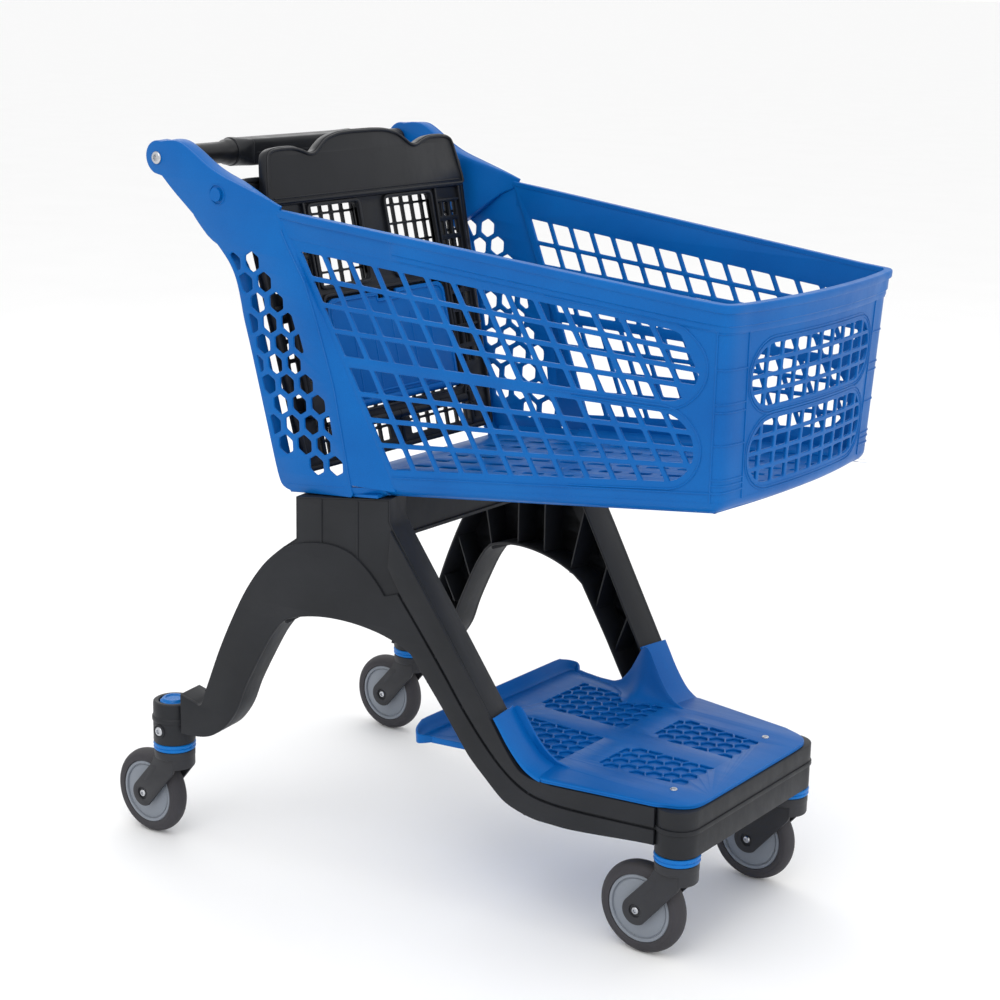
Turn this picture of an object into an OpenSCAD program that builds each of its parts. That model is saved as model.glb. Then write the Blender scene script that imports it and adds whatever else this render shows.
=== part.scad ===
/* Supermarket trolley with a tapering plastic basket on two splayed side frames.
   Frame: origin on the floor at the middle of the outline, +X towards the front,
   +Y towards the left side, +Z up. All sizes are millimetres. */

/* [Running gear] */
// Wheel diameter over the tread
wheel_d = 125; // [100:1:160]
// Tread width
tyre_w = 27; // [20:1:36]
// Horizontal distance from the swivel axis back to the axle
trail = 47; // [30:1:60]
// Distance between the rear and front swivel axes along the trolley
wheelbase = 769; // [650:1:900]
// Distance between the two rear swivel axes
rear_track = 541; // [480:1:620]
// Distance between the two front swivel axes
front_track = 285.4; // [250:1:340]

/* [Side frames] */
// Thickness of a side frame across the trolley
frame_t = 50; // [36:1:60]
// Wall of the hollow frame mouldings
frame_wall = 4; // [3:0.5:6]
// Height of the platform the tray lies on
deck_z = 215; // [190:1:240]

/* [Basket] */
// Height of the rim where the arms begin
rim_rear_z = 925; // [860:1:1000]
// Height of the rim at the front
rim_front_z = 864; // [800:1:920]
// Basket width over the sides at the rear of the rim
basket_rear_w = 520; // [460:1:580]
// Basket width over the sides at the front of the rim
basket_front_w = 415; // [360:1:480]
// Height of the floor's underside at its rear edge
floor_rear_z = 546; // [500:1:600]
// Upward slope of the floor towards the front
floor_slope = 6.05; // [0:0.05:10]
// Inward lean of the side walls from rim to floor
side_lean = 3.5; // [0:0.1:8]
// Wall thickness of the basket
wall_t = 4; // [3:0.5:6]

/* [Handle] */
// Handle tube diameter
handle_d = 30; // [24:1:38]
// Height of the handle's axis
handle_z = 978; // [900:1:1050]
// Half the length of the flat-topped sleeve on the handle
sleeve_half = 120; // [80:1:180]

/* [Rear gate and child seat] */
// Forward lean of the gate from its hinge down
gate_lean = 13.2; // [0:0.1:20]
// Length of the gate below its hinge axis
gate_drop = 385; // [300:1:390]
// Half the width of the seat back's top panel
plaque_half = 213; // [180:1:222]
// Half the width of the folding seat
seat_half = 129; // [100:1:140]

/* [View] */
// Sub-part to show, or all

/* [Hidden] */
$fn = 64;
wheel_r = wheel_d / 2;
hub_r = wheel_r - 16.5;                  // wheel centre, under the tyre
rim_front_x = 868;                       // rim's front edge, from the rear swivel axis
x_mid = (rim_front_x - trail - wheel_r) / 2;
splay = atan((rear_track - front_track) / 2 / wheelbase);
socket_r = 30;
socket_z0 = 151;                         // underside of the sockets
ring_z0 = 140;                           // underside of the collar rings
head_z0 = 128.5;                         // underside of the fork heads
stem_r = 10;
run = 0.05;                              // radial running clearance
seat = 0.3;                              // gap between pieces that are screwed together
frame_in = frame_t / 2;
cheek_x = 209;                           // where the rim meets the arms
cheek_y = 263;                           // outer face of the cheeks at the rim
rim_run = 640.5;                         // rim length along the trolley
taper = atan((basket_rear_w - basket_front_w) / 2 / rim_run);
rim_fall = (rim_rear_z - rim_front_z) / rim_run;
lean_k = tan(side_lean);
floor_k = tan(floor_slope);
front_lean = 2.7;
hinge_x = 96;
hinge_z = rim_rear_z + 12;
hinge_r = 5;
arm_t = 24;                              // thickness of the arms
handle_x = -13;
seat_pin_a = 31;                         // seat back hinge, ahead of the gate hinge
seat_pin_z = -335;
flap_pin_a = 30;                         // folding seat hinge
flap_pin_z = -309;

// ---------- placing helpers ----------

module cart() translate([-x_mid, 0, 0]) children();

module both() { children(); mirror([0, 1, 0]) children(); }

// Upright plane of the right side frame: x forward from the rear swivel, y up, z outboard.
module side_plane() translate([0, -rear_track / 2, 0]) rotate([0, 0, splay]) rotate([90, 0, 0]) children();

// A slab of the side frame's plane between two outboard offsets.
module frame_slab(z0, z1) side_plane() translate([0, 0, z0]) linear_extrude(z1 - z0) children();

// Tilted plane of the right basket wall: outer face at z = 0, x forward, y up.
module wall_plane() translate([cheek_x, -basket_rear_w / 2, rim_rear_z])
    rotate([0, 0, taper]) rotate([90 + side_lean, 0, 0]) children();

// Plane of the right cheek and arm: leans like the wall but runs straight along the trolley.
module cheek_plane() translate([0, -cheek_y, rim_rear_z]) rotate([90 + side_lean, 0, 0]) children();

// Basket floor: x forward along the slope from the floor's rear edge, z normal to it.
module floor_plane() translate([cheek_x, 0, floor_rear_z]) rotate([0, -floor_slope, 0]) children();

// Gate: x forward from the hinge axis, z up the gate.
module gate_plane() translate([hinge_x, 0, hinge_z]) rotate([0, -gate_lean, 0]) children();

// Front wall: x across to the left, y up, z forward.
module front_plane() translate([rim_front_x - 10, 0, rim_front_z])
    rotate([0, front_lean, 0]) rotate([90, 0, 90]) children();

// Trolley position (x, z) as a point of the right wall's plane.
function on_wall(x, z) = [(x - cheek_x) / cos(taper), (z - rim_rear_z) / cos(side_lean)];
function on_cheek(x, z) = [x, (z - rim_rear_z) / cos(side_lean)];
function rim_z(x) = rim_rear_z - rim_fall * (x - cheek_x);
function floor_z(x) = floor_rear_z + floor_k * (x - cheek_x);
// The slanted line where the cheek gives way to the lattice wall.
function step_x(z) = 213 + (899 - z) * 0.48;

// Cylinder along Y between two positions.
module y_rod(r, y0, y1) translate([0, y1, 0]) rotate([90, 0, 0]) cylinder(r = r, h = y1 - y0);

// Keeps what lies above the basket floor plate.
module above_floor() intersection() {
    children();
    floor_plane() translate([-500, -400, wall_t]) cube([1600, 800, 700]);
}

// Everything ahead of the slanted step line, as an upright prism.
module ahead_of_step() translate([0, 400, 0]) rotate([90, 0, 0]) linear_extrude(800)
    polygon([[step_x(1000), 1000], [1000, 1000], [1000, 500], [step_x(500), 500]]);

// Band of varying width along a chain of [x, z, width] points, thinned by an inset.
function along(p, i) = let (a = p[max(i - 1, 0)], b = p[min(i + 1, len(p) - 1)],
    d = [b[0] - a[0], b[1] - a[1]]) d / norm(d);
function edge(p, side, inset) = [for (i = [0 : len(p) - 1]) let (d = along(p, i))
    [p[i][0], p[i][1]] + side * (p[i][2] / 2 - inset) * [-d[1], d[0]]];
function reversed(v) = [for (i = [len(v) - 1 : -1 : 0]) v[i]];
module band(p, inset = 0) polygon(concat(edge(p, 1, inset), reversed(edge(p, -1, inset))));

// Point on a smooth curve through control rows.
function blend3(a, b, c, d, t) = 0.5 * (2 * b + (c - a) * t + (2 * a - 5 * b + 4 * c - d) * t * t
    + (3 * b - a - 3 * c + d) * t * t * t);
function smooth(p, n) = concat([for (i = [0 : len(p) - 2], k = [0 : n - 1])
    blend3(p[max(i - 1, 0)], p[i], p[i + 1], p[min(i + 2, len(p) - 1)], k / n)], [p[len(p) - 1]]);

// ---------- side frames ----------

// Centre lines of the legs: [forward, up, width].
rear_leg = smooth([[20, 206, 44], [62, 208, 58], [96, 240, 62], [126, 300, 60], [166, 382, 64], [204, 440, 66]], 5);
front_leg = smooth([[338, 500, 68], [426, 372, 66], [482, 296, 60], [519, 240, 57],
    [548, 202, 53], [590, deck_z - 28, 55], [650, deck_z - 28, 56], [wheelbase - 24, deck_z - 27, 54]], 5);

// Block that the basket floor rests on; its top follows the floor's slope.
function saddle_z(s) = floor_z(s * cos(splay)) - frame_in * sin(splay) * floor_k - seat;
module saddle_shape(inset) polygon([[222 + inset, 440], [222 + inset, saddle_z(222) - inset],
    [367 - inset, saddle_z(367) - inset], [367 - inset, 470]]);
module arch_shape(inset) difference() {
    polygon([[168, 388 + inset], [184, 455], [222, 492 - inset], [367, 496 - inset],
        [404, 440], [430, 376 + inset]]);
    translate([292, 262]) circle(r = 124 + inset, $fn = 96);
}
module frame_shape(inset) {
    band(rear_leg, inset);
    band(front_leg, inset);
    arch_shape(inset);
    saddle_shape(inset);
}

// Socket posts carry a ledge; the frames are cut clear of both.
ledge_z = 185;
ledge_h = 5;
ledge_r = socket_r + 1.5;
module socket_clearance() {
    cylinder(r = socket_r + seat, h = 400);
    translate([0, 0, ledge_z - seat]) cylinder(r = ledge_r + seat, h = ledge_h + 2 * seat);
}

// One side frame: a closed outer face with a rim wall, open towards the inside.
module side_frame() difference() {
    frame_slab(-frame_in, frame_in) frame_shape(0);
    frame_slab(-frame_in - 1, frame_in - frame_wall) intersection() {
        frame_shape(frame_wall);
        translate([62, 0]) square([wheelbase - 110, 600]);
    }
    translate([0, -rear_track / 2, 0]) socket_clearance();
    translate([wheelbase, -front_track / 2, 0]) socket_clearance();
    // Holes for the bolts that hold the basket and the cross beam.
    for (s = [252, 337]) side_plane() translate([s, 0, 0]) rotate([-90, 0, 0])
        translate([0, 0, 480]) cylinder(r = 5 + run, h = 120);
}

module side_frame_right() color("#2b2d31") cart() side_frame();
module side_frame_left() color("#2b2d31") cart() mirror([0, 1, 0]) side_frame();

// Rear swivel socket: upright cylinder with a ledge and a bore for the fork stem.
module rear_socket() translate([0, -rear_track / 2, 0]) difference() {
    union() {
        translate([0, 0, socket_z0]) cylinder(r = socket_r, h = 62);
        translate([0, 0, ledge_z]) cylinder(r = ledge_r, h = ledge_h);
    }
    translate([0, 0, socket_z0 - 1]) cylinder(r = stem_r + run, h = 45);
    translate([0, 0, 205]) cylinder(r = 20, h = 20);
    translate([0, -40, 172]) y_rod(4, 0, 29);
}
module rear_sockets() color("#2b2d31") cart() both() rear_socket();

module socket_caps() color("#0a6fc2") cart() both() translate([0, -rear_track / 2, 205]) {
    cylinder(r = 19.8, h = 8);
    translate([0, 0, 8]) cylinder(r = 17, h = 3);
}

module socket_screws() color("#b9bcc0") cart() both() translate([0, -rear_track / 2 - 27, 172]) {
    y_rod(3.9, -4, 15.5);
    y_rod(7, -6, -3.2);
}

// Front crossmember: hollow beam with a rounded socket post at each end.
beam_x = 34;
module front_crossmember() color("#2b2d31") cart() difference() {
    union() {
        translate([wheelbase - beam_x + 28, -front_track / 2, 158])
            cube([beam_x, front_track, deck_z - 158]);
        both() translate([wheelbase, -front_track / 2, socket_z0]) cylinder(r = socket_r, h = deck_z - socket_z0);
        both() translate([wheelbase, -front_track / 2, ledge_z]) cylinder(r = ledge_r, h = ledge_h);
        translate([wheelbase - 2, -front_track / 2, ledge_z]) cube([ledge_r + 2, front_track, ledge_h]);
    }
    translate([wheelbase - beam_x + 28 + frame_wall, -front_track / 2 + socket_r + 4, 150])
        cube([beam_x - 2 * frame_wall, front_track - 2 * socket_r - 8, deck_z - 150 - frame_wall]);
    both() translate([wheelbase, -front_track / 2, socket_z0 - 1]) cylinder(r = stem_r + run, h = 45);
}

// Beam under the basket between the two saddles, open underneath.
module cross_beam() color("#2b2d31") cart() difference() {
    floor_plane() translate([34, -300, -60]) difference() {
        cube([104, 600, 56]);
        translate([frame_wall, -1, -frame_wall]) cube([104 - 2 * frame_wall, 602, 56]);
    }
    both() frame_slab(-frame_in - seat, 120) translate([0, 300]) square([600, 400]);
}

// Bolts through the saddles into the basket floor.
module basket_bolts() color("#c3c6ca") cart() both() for (s = [252, 337]) side_plane()
    translate([s, 0, 0]) rotate([-90, 0, 0]) translate([0, 0, floor_z(s) - 22]) {
        cylinder(r = 5, h = 19);
        translate([0, 0, -6]) cylinder(r = 9, h = 6, $fn = 6);
    }

// ---------- lower tray ----------

tray_t = 6;
tray_z = deck_z + seat;
// Half widths of the platform: outside the frames and between them.
function deck_out(x) = rear_track / 2 - x * tan(splay) + frame_in - 1;
function deck_in(x) = rear_track / 2 - x * tan(splay) - frame_in - 3;

module tray_plan() {
    polygon([[592, deck_out(592)], [740, deck_out(740)], [wheelbase + 6, front_track / 2 + 20],
        [wheelbase + 27, front_track / 2], [wheelbase + 27, -front_track / 2],
        [wheelbase + 6, -front_track / 2 - 20], [740, -deck_out(740)], [592, -deck_out(592)],
        [584, -deck_in(584)], [368, -deck_in(368)], [368, deck_in(368)], [584, deck_in(584)]]);
}
// Field of shallow hexagonal pockets, centred on the origin.
module pocket_field(nx, ny) for (i = [0 : nx - 1], j = [0 : ny - 1])
    translate([(i - (nx - 1) / 2) * 21, (j - (ny - 1) / 2 + 0.5 * (i % 2) - 0.25) * 24])
        circle(r = 11.8, $fn = 6);
module tray_pockets() {
    for (side = [-1, 1]) {
        translate([498, side * 82]) pocket_field(6, 5);
        translate([682, side * 74]) pocket_field(5, 4);
    }
}
module lower_tray() color("#0a62b4") cart() difference() {
    union() {
        translate([0, 0, tray_z]) linear_extrude(tray_t) tray_plan();
        // Upturned rear edge.
        translate([366, -140, tray_z]) cube([5, 280, 24]);
        // Wings against the inner faces of the front legs, and the strips over the legs.
        both() frame_slab(-frame_in - seat - 5, -frame_in - seat)
            polygon([[476, tray_z], [518, 296], [532, 290], [590, tray_z + 1]]);
        both() frame_slab(-frame_in - seat - 5, frame_in - 1) intersection() {
            difference() {
                band(front_leg, -seat - 5);
                band(front_leg, -seat);
            }
            polygon([[500, 294], [560, 300], [620, tray_z + tray_t], [600, tray_z], [560, tray_z]]);
        }
    }
    translate([0, 0, tray_z + 3]) linear_extrude(10) tray_pockets();
    both() translate([745, -118, 200]) cylinder(r = 2.6, h = 40);
}

module tray_screws() color("#c3c6ca") cart() both() translate([745, -118, 0]) {
    translate([0, 0, tray_z + tray_t + 0.05]) cylinder(r = 5, h = 2);
    translate([0, 0, tray_z - 3]) cylinder(r = 2.5, h = tray_t + 3.05);
}

// ---------- basket ----------

bar_u = 7;                                // slanted bars
bar_v = 6;                                // level bars
bay = 37.6;                               // pitch of the slanted bars
end_r = 43;                               // rounded front ends of the lattice fields

// Lattice field between two edges, each given by its height at x = 223 and x = 762.
module lattice_field(top0, top1, low0, low1, x_end) difference() {
    union() {
        polygon([on_wall(step_x(top0) + 10, top0), on_wall(x_end, top1), on_wall(x_end, low1),
            on_wall(step_x(low0) + 10, low0)]);
        translate(on_wall(x_end, (top1 + low1) / 2)) circle(r = (top1 - low1) / 2);
    }
    for (k = [1 : 15]) polygon([for (c = [[top0 + 9, 0], [top0 + 9, bar_u], [low0 - 9, bar_u], [low0 - 9, 0]])
        on_wall(step_x(c[0]) + 4 + k * bay + c[1] - 0.004 * k * (c[0] - top0), c[0])]);
    for (r = [1 : 3]) let (a = top0 + (low0 - top0) * r / 4, b = top1 + (low1 - top1) * r / 4)
        polygon([on_wall(200, a - bar_v / 2), on_wall(820, b - bar_v / 2), on_wall(820, b + bar_v / 2),
            on_wall(200, a + bar_v / 2)]);
}
wall_end_x = 843;
module basket_wall() {
    translate([0, 0, -wall_t]) linear_extrude(wall_t) difference() {
        polygon([on_wall(step_x(940), 940), on_wall(step_x(925), rim_z(190) - 1),
            on_wall(wall_end_x, rim_z(wall_end_x)), on_wall(wall_end_x - 8, floor_z(835) - 20),
            on_wall(step_x(540), 540)]);
        lattice_field(875, 830, 743, 743, 762);
        lattice_field(729, 729, 584, 644, 758);
    }
    // Rolled rim and the raised band below it.
    translate([0, 0, -wall_t - 1]) linear_extrude(wall_t + 9) rim_strip(0, 5);
    translate([0, 0, 5.5]) linear_extrude(2.5) rim_strip(0, 14);
    translate([0, 0, -0.5]) linear_extrude(2.5) rim_strip(26, 30);
}
// Strip that follows the rim between two depths below it.
module rim_strip(d0, d1) polygon([on_wall(196, rim_z(196) - d0), on_wall(wall_end_x, rim_z(wall_end_x) - d0),
    on_wall(wall_end_x, rim_z(wall_end_x) - d1), on_wall(196, rim_z(196) - d1)]);
module basket_side() intersection() {
    above_floor() wall_plane() basket_wall();
    ahead_of_step();
}
module basket_side_right() color("#0a62b4") cart() basket_side();
module basket_side_left() color("#0a62b4") cart() mirror([0, 1, 0]) basket_side();

// Outline of cheek and arm: rear edge up to the rounded arm tip, then back along the top.
arm_tip = [-11, 978];
module cheek_outline() {
    polygon([for (p = concat(
        smooth([[205, 546], [184, 556], [178, 574], [165, 627], [140, 739], [127, 800], [118, 836],
            [99, 861], [57, 900], [2, 955]], 3),
        [[-14, 1000.6], [18, 1003.5], [40, 998], [77, 974], [103, 963], [150, 949], [207, 931]],
        [[step_x(920), 920], [step_x(540), 540]])) on_cheek(p[0], p[1])]);
    translate(on_cheek(arm_tip[0], arm_tip[1])) circle(r = 23);
}
module arm_outline() intersection() {
    cheek_outline();
    polygon([for (p = [[-60, 940], [-60, 1040], [60, 1040], [222, 955], [207, 925], [118, 858], [60, 880]])
        on_cheek(p[0], p[1])]);
}
// Hexagon pattern that follows the leaning rear edge.
cell = 31;
module honeycomb() for (i = [0 : 9], j = [0 : 3]) {
    x = 152 + i * 5.2 + j * cell + (i % 2) * cell / 2 - floor(i / 4) * 0.5;
    z = 852 - i * cell * 0.866;
    if (x > 152 + i * 5.6 - 2 && x < step_x(z) - 42) translate(on_cheek(x, z)) rotate(30) circle(r = 14.2, $fn = 6);
}
module basket_cheek() difference() {
    intersection() {
        above_floor() cheek_plane() {
            translate([0, 0, -wall_t]) linear_extrude(wall_t) difference() {
                cheek_outline();
                honeycomb();
            }
            translate([0, 0, -arm_t]) linear_extrude(arm_t) arm_outline();
            // Rear flange that the gate rests against.
            translate([0, 0, -30]) linear_extrude(29) polygon([for (p = [[128, 800], [132.5, 800],
                [184, 575], [190, 556], [184, 554], [178.5, 575]]) on_cheek(p[0], p[1])]);
            // Web of the step down to the lattice wall.
            translate([0, 0, -20]) linear_extrude(19) polygon([for (p = [[step_x(910) - 7, 910],
                [step_x(910), 910], [step_x(540), 540], [step_x(540) - 7, 540]]) on_cheek(p[0], p[1])]);
        }
        difference() {
            translate([-100, -400, 400]) cube([700, 400, 700]);
            ahead_of_step();
        }
    }
    // Holes for the gate hinge pin and the handle screw.
    translate([hinge_x, 0, hinge_z]) y_rod(hinge_r + run, -300, -200);
    translate([handle_x, 0, handle_z]) y_rod(4.1, -300, -200);
}
module basket_cheek_right() color("#0a62b4") cart() basket_cheek();
module basket_cheek_left() color("#0a62b4") cart() mirror([0, 1, 0]) basket_cheek();

// Front wall with two rounded window fields, corner posts and the front rim.
post_r = 17.6;
function front_half(z) = basket_front_w / 2 - 12 - (rim_front_z - z) * lean_k;
module front_field(z0, z1, half) difference() {
    union() {
        r = (z1 - z0) / 2;
        translate([-half + r, z0 - rim_front_z]) square([2 * (half - r), z1 - z0]);
        for (s = [-1, 1]) translate([s * (half - r), (z0 + z1) / 2 - rim_front_z]) circle(r = r);
    }
    for (k = [-4 : 4]) translate([k * 34 - bar_v / 2, z0 - rim_front_z - 1]) square([bar_v, z1 - z0 + 2]);
    for (r = [1 : 3]) translate([-half, z0 + (z1 - z0) * r / 4 - rim_front_z - 2.5]) square([2 * half, 5]);
}
module corner_post(r, grow) {
    top = [rim_front_x - 9 - post_r, -basket_front_w / 2 + post_r + 0.4, rim_front_z];
    low = [rim_front_x - 21.5 - post_r, -basket_front_w / 2 + post_r + 16, 604];
    d = top - low;
    translate(low) rotate([0, 0, atan2(d[1], d[0])]) rotate([0, acos(d[2] / norm(d)), 0])
        translate([0, 0, -grow]) cylinder(r = r, h = norm(d) + grow * 1.0);
}
module basket_front() color("#0a62b4") cart() difference() {
    above_floor() {
        front_plane() {
            translate([0, 0, -wall_t]) linear_extrude(wall_t) difference() {
                polygon([[-front_half(864) + 4, 0], [front_half(864) - 4, 0],
                    [front_half(600) - 8, -264], [-front_half(600) + 8, -264]]);
                front_field(735, 811, 147);
                front_field(640, 718, 141);
            }
            translate([-182, -5, -wall_t]) cube([364, 5, wall_t + 9.9]);
            translate([-182, -30, -0.5]) cube([364, 4, 2.5]);
        }
        both() difference() {
            union() {
                corner_post(post_r, 0);
                translate([rim_front_x - 10 - post_r, -basket_front_w / 2 + post_r, rim_front_z - 5.5])
                    cylinder(r = post_r + 8, h = 5);
            }
            corner_post(post_r - wall_t, 20);
        }
    }
    both() wall_plane() translate([-100, -500, -60]) cube([100 + on_wall(wall_end_x + seat, 0)[0], 700, 100]);
    both() wall_plane() translate([on_wall(wall_end_x - 12, 0)[0], -500, 8.2]) cube([60, 700, 80]);
}

// Slotted floor plate.
function floor_half(x) = basket_rear_w / 2 - (x - cheek_x) * tan(taper) - (rim_rear_z - floor_z(x)) * lean_k;
module basket_floor() color("#0a62b4") cart() difference() {
    union() {
        floor_plane() linear_extrude(wall_t) polygon([[-14, -239.5], [160, -239.5], [165, -floor_half(370)],
            [628, -floor_half(836)], [648, -floor_half(842) + 16], [648, floor_half(842) - 16],
            [628, floor_half(836)], [165, floor_half(370)], [160, 239.5], [-14, 239.5]]);
        // Ribs along the underside ahead of the cross beam.
        for (y = [-120, 0, 120]) floor_plane() translate([150, y - 2, -8]) cube([460, 4, 9]);
    }
    floor_plane() for (i = [0 : 11], j = [-4 : 4]) if (i < 8 || abs(j) < 4)
        translate([44 + i * 48, j * 42 - 15, -20]) cube([34, 12, 40]);
    both() for (s = [252, 337]) side_plane() translate([s, 0, 0]) rotate([-90, 0, 0])
        translate([0, 0, 480]) cylinder(r = 5 + run, h = floor_z(s) - 480 + 2);
}

// ---------- handle ----------

arm_out = cheek_y + (handle_z - rim_rear_z) * lean_k;   // outer face of the arms at the handle
tube_half = arm_out - arm_t - handle_d / 2 * lean_k - seat;
module handle_tube() color("#25272b") cart() translate([handle_x, 0, handle_z]) difference() {
    y_rod(handle_d / 2, -tube_half, tube_half);
    y_rod(handle_d / 2 - 3, -tube_half + 15, tube_half - 15);
    y_rod(4.1, -arm_out, arm_out);
}
module handle_sleeve() color("#2b2d31") cart() translate([handle_x, 0, handle_z]) difference() {
    union() {
        translate([-22, -sleeve_half, -handle_d / 2 - 5]) cube([44, 2 * sleeve_half, handle_d / 2 + 23]);
        for (y = [-sleeve_half - 8, sleeve_half - 20]) translate([0, y, 0]) y_rod(handle_d / 2 + 6, 0, 28);
    }
    y_rod(handle_d / 2 + run, -sleeve_half - 20, sleeve_half + 20);
}
module handle_screws() color("#8f9296") cart() both() translate([handle_x, 0, handle_z]) {
    y_rod(4, -arm_out - 3, -tube_half + 12);
    y_rod(9, -arm_out - 4.9, -arm_out - 0.9);
}

// ---------- rear gate and child seat ----------

gate_a0 = 8.5;                            // gate panel, ahead of the hinge axis
gate_a1 = 22;
gate_top = 16;
function gate_half(z) = 234 + z * 24 / 385;
module gate_panel() {
    difference() {
        polygon([[-gate_half(0), gate_top], [gate_half(0), gate_top], [gate_half(-gate_drop), -gate_drop],
            [-gate_half(-gate_drop), -gate_drop]]);
        for (s = [-1, 1]) {
            // Leg openings of the child seat.
            translate([s * 84 - 46, -292]) square([92, 118]);
            // Upper and lower grid fields.
            grid(s * 98, -82, 7, 6);
            grid(s * 98, -338, 7, 3);
            grid(s * 174, -233, 2, 5);
        }
    }
}
module grid(y, z, nx, nz) for (i = [0 : nx - 1], j = [0 : nz - 1])
    translate([y + (i - (nx - 1) / 2) * 22 - 8.5, z + (j - (nz - 1) / 2) * 22 - 8.5]) square(17);
module upright(a0, a1) translate([a0, 0, 0]) rotate([90, 0, 90]) linear_extrude(a1 - a0) children();
module gate_frame() color("#24262a") cart() gate_plane() difference() {
    union() {
        upright(gate_a0, gate_a1) gate_panel();
        both() {
            // Hinge knuckle and its web.
            y_rod(10, -232, -190);
            translate([0, -232, -9]) cube([gate_a0 + 1, 42, 18]);
        }
    }
    y_rod(hinge_r + run, -300, 300);
}

// Lugs on the gate's face that carry the seat back's pin.
module gate_lugs() color("#24262a") cart() gate_plane() both() difference() {
    union() {
        translate([gate_a1 + seat, -153, seat_pin_z - 8]) cube([seat_pin_a + 8 - gate_a1 - seat, 11, 16]);
        translate([gate_a1 + seat, -160, seat_pin_z - 8]) cube([3, 18, 16]);
    }
    translate([seat_pin_a, 0, seat_pin_z]) y_rod(4 + run, -300, 300);
}
module gate_pins() color("#0a62b4") cart() gate_plane() both() {
    y_rod(hinge_r, -266, -192);
    y_rod(9, -268, -264.2);
}

module back_outline() {
    translate([-plaque_half, -8]) square([2 * plaque_half, 38]);
    translate([-plaque_half + 20, 20]) square([2 * plaque_half - 40, 30]);
    for (s = [-1, 1]) translate([s * (plaque_half - 20), 30]) circle(r = 20);
    intersection() {
        translate([0, -82]) circle(r = 150);
        translate([-100, 0]) square([200, 100]);
    }
}
module seat_back() color("#24262a") cart() gate_plane() difference() {
    union() {
        upright(24, 42) back_outline();
        upright(24, 36) difference() {
            polygon([[-206, 0], [206, 0], [196, -318], [140, -318], [140, seat_pin_z], [-140, seat_pin_z],
                [-140, -318], [-196, -318]]);
            for (s = [-1, 1]) {
                translate([s * 80.5 - 50.5, -140]) square([101, 116]);
                grid(s * 166, -160, 2, 12);
            }
            translate([-seat_half - 2, -318]) square([2 * seat_half + 4, 161]);
        }
        // Round hinge bead along the lower bar.
        translate([seat_pin_a, 0, seat_pin_z]) y_rod(7, -140, 140);
    }
    translate([seat_pin_a, 0, seat_pin_z]) y_rod(4 + run, -300, 300);
    translate([flap_pin_a, 0, flap_pin_z]) y_rod(3 + run, -141, 141);
}
module seat_back_pin() color("#b9bcc0") cart() gate_plane() translate([seat_pin_a, 0, seat_pin_z])
    y_rod(4, -155, 155);

module seat_flap() color("#0a62b4") cart() gate_plane() difference() {
    union() {
        upright(flap_pin_a, 37) difference() {
            union() {
                translate([-seat_half, flap_pin_z]) square([2 * seat_half, 132]);
                translate([-seat_half + 18, flap_pin_z]) square([2 * seat_half - 36, 150]);
                for (s = [-1, 1]) translate([s * (seat_half - 18), flap_pin_z + 132]) circle(r = 18);
            }
            for (y = [-22, 6]) translate([y, flap_pin_z + 138]) square([14, 20]);
        }
        translate([flap_pin_a, 0, flap_pin_z]) y_rod(6.5, -seat_half, seat_half);
    }
    translate([flap_pin_a, 0, flap_pin_z]) y_rod(3 + run, -200, 200);
}
module flap_pin() color("#b9bcc0") cart() gate_plane() translate([flap_pin_a, 0, flap_pin_z])
    y_rod(3, -140, 140);

// ---------- casters ----------

arm_y0 = tyre_w / 2 + 3.5;                // fork arms stand clear of the tread
arm_y1 = arm_y0 + 5;

// Where each caster's swivel axis stands.
function spot(rear, side) = rear ? [0, side * rear_track / 2, 0] : [wheelbase, side * front_track / 2, 0];
module at(rear, side) cart() translate(spot(rear, side)) children();
module axle_at(rear, side) at(rear, side) translate([-trail, 0, wheel_r]) children();

module ring(rear, side) color("#0a6fc2") at(rear, side) difference() {
    translate([0, 0, ring_z0]) cylinder(r = socket_r + 0.5, h = socket_z0 - ring_z0 - run);
    translate([0, 0, ring_z0 - 1]) cylinder(r = stem_r + 1, h = 20);
}

module fork_side() rotate([90, 0, 0]) linear_extrude(arm_y1 - arm_y0) difference() {
    union() {
        polygon([[-22, head_z0 + 4], [24, head_z0 + 4], [27, head_z0 - 10], [-trail + 17, wheel_r - 12],
            [-trail - 17, wheel_r + 12]]);
        translate([-trail, wheel_r]) circle(r = 20);
    }
    translate([-trail, wheel_r]) circle(r = 5 + run);
}
module fork(rear, side) color("#35373c") at(rear, side) {
    difference() {
        translate([0, 0, head_z0]) cylinder(r = socket_r - 0.5, h = ring_z0 - head_z0 - seat);
        translate([0, 0, head_z0 - 1]) cylinder(r = 6, h = 4);
    }
    translate([0, 0, ring_z0 - 4]) cylinder(r = stem_r, h = 54);
    translate([0, -arm_y0, 0]) fork_side();
    translate([0, arm_y1, 0]) fork_side();
}

module hub(rear, side) color("#858c94") axle_at(rear, side) rotate([90, 0, 0]) rotate_extrude()
    polygon([[5 + run, -15], [14, -15], [15, -7], [hub_r - 10, -7], [hub_r - 8, -11], [hub_r, -11], [hub_r, 11],
        [hub_r - 8, 11], [hub_r - 10, 7], [15, 7], [14, 15], [5 + run, 15]]);

module tyre(rear, side) color("#46484c") axle_at(rear, side) rotate([90, 0, 0]) rotate_extrude() union() {
    translate([hub_r, -tyre_w / 2 + 2]) square([wheel_r - hub_r - 9, tyre_w - 4]);
    intersection() {
        translate([wheel_r - 18, 0]) circle(r = 18);
        translate([hub_r + 2, -tyre_w / 2]) square([40, tyre_w]);
    }
}

module axle(rear, side) color("#c9ccd0") axle_at(rear, side) {
    y_rod(5, -arm_y1 - 1, arm_y1 + 1);
    y_rod(8.5, -arm_y1 - 4, -arm_y1 - run);
    y_rod(8.5, arm_y1 + run, arm_y1 + 4);
}

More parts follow.
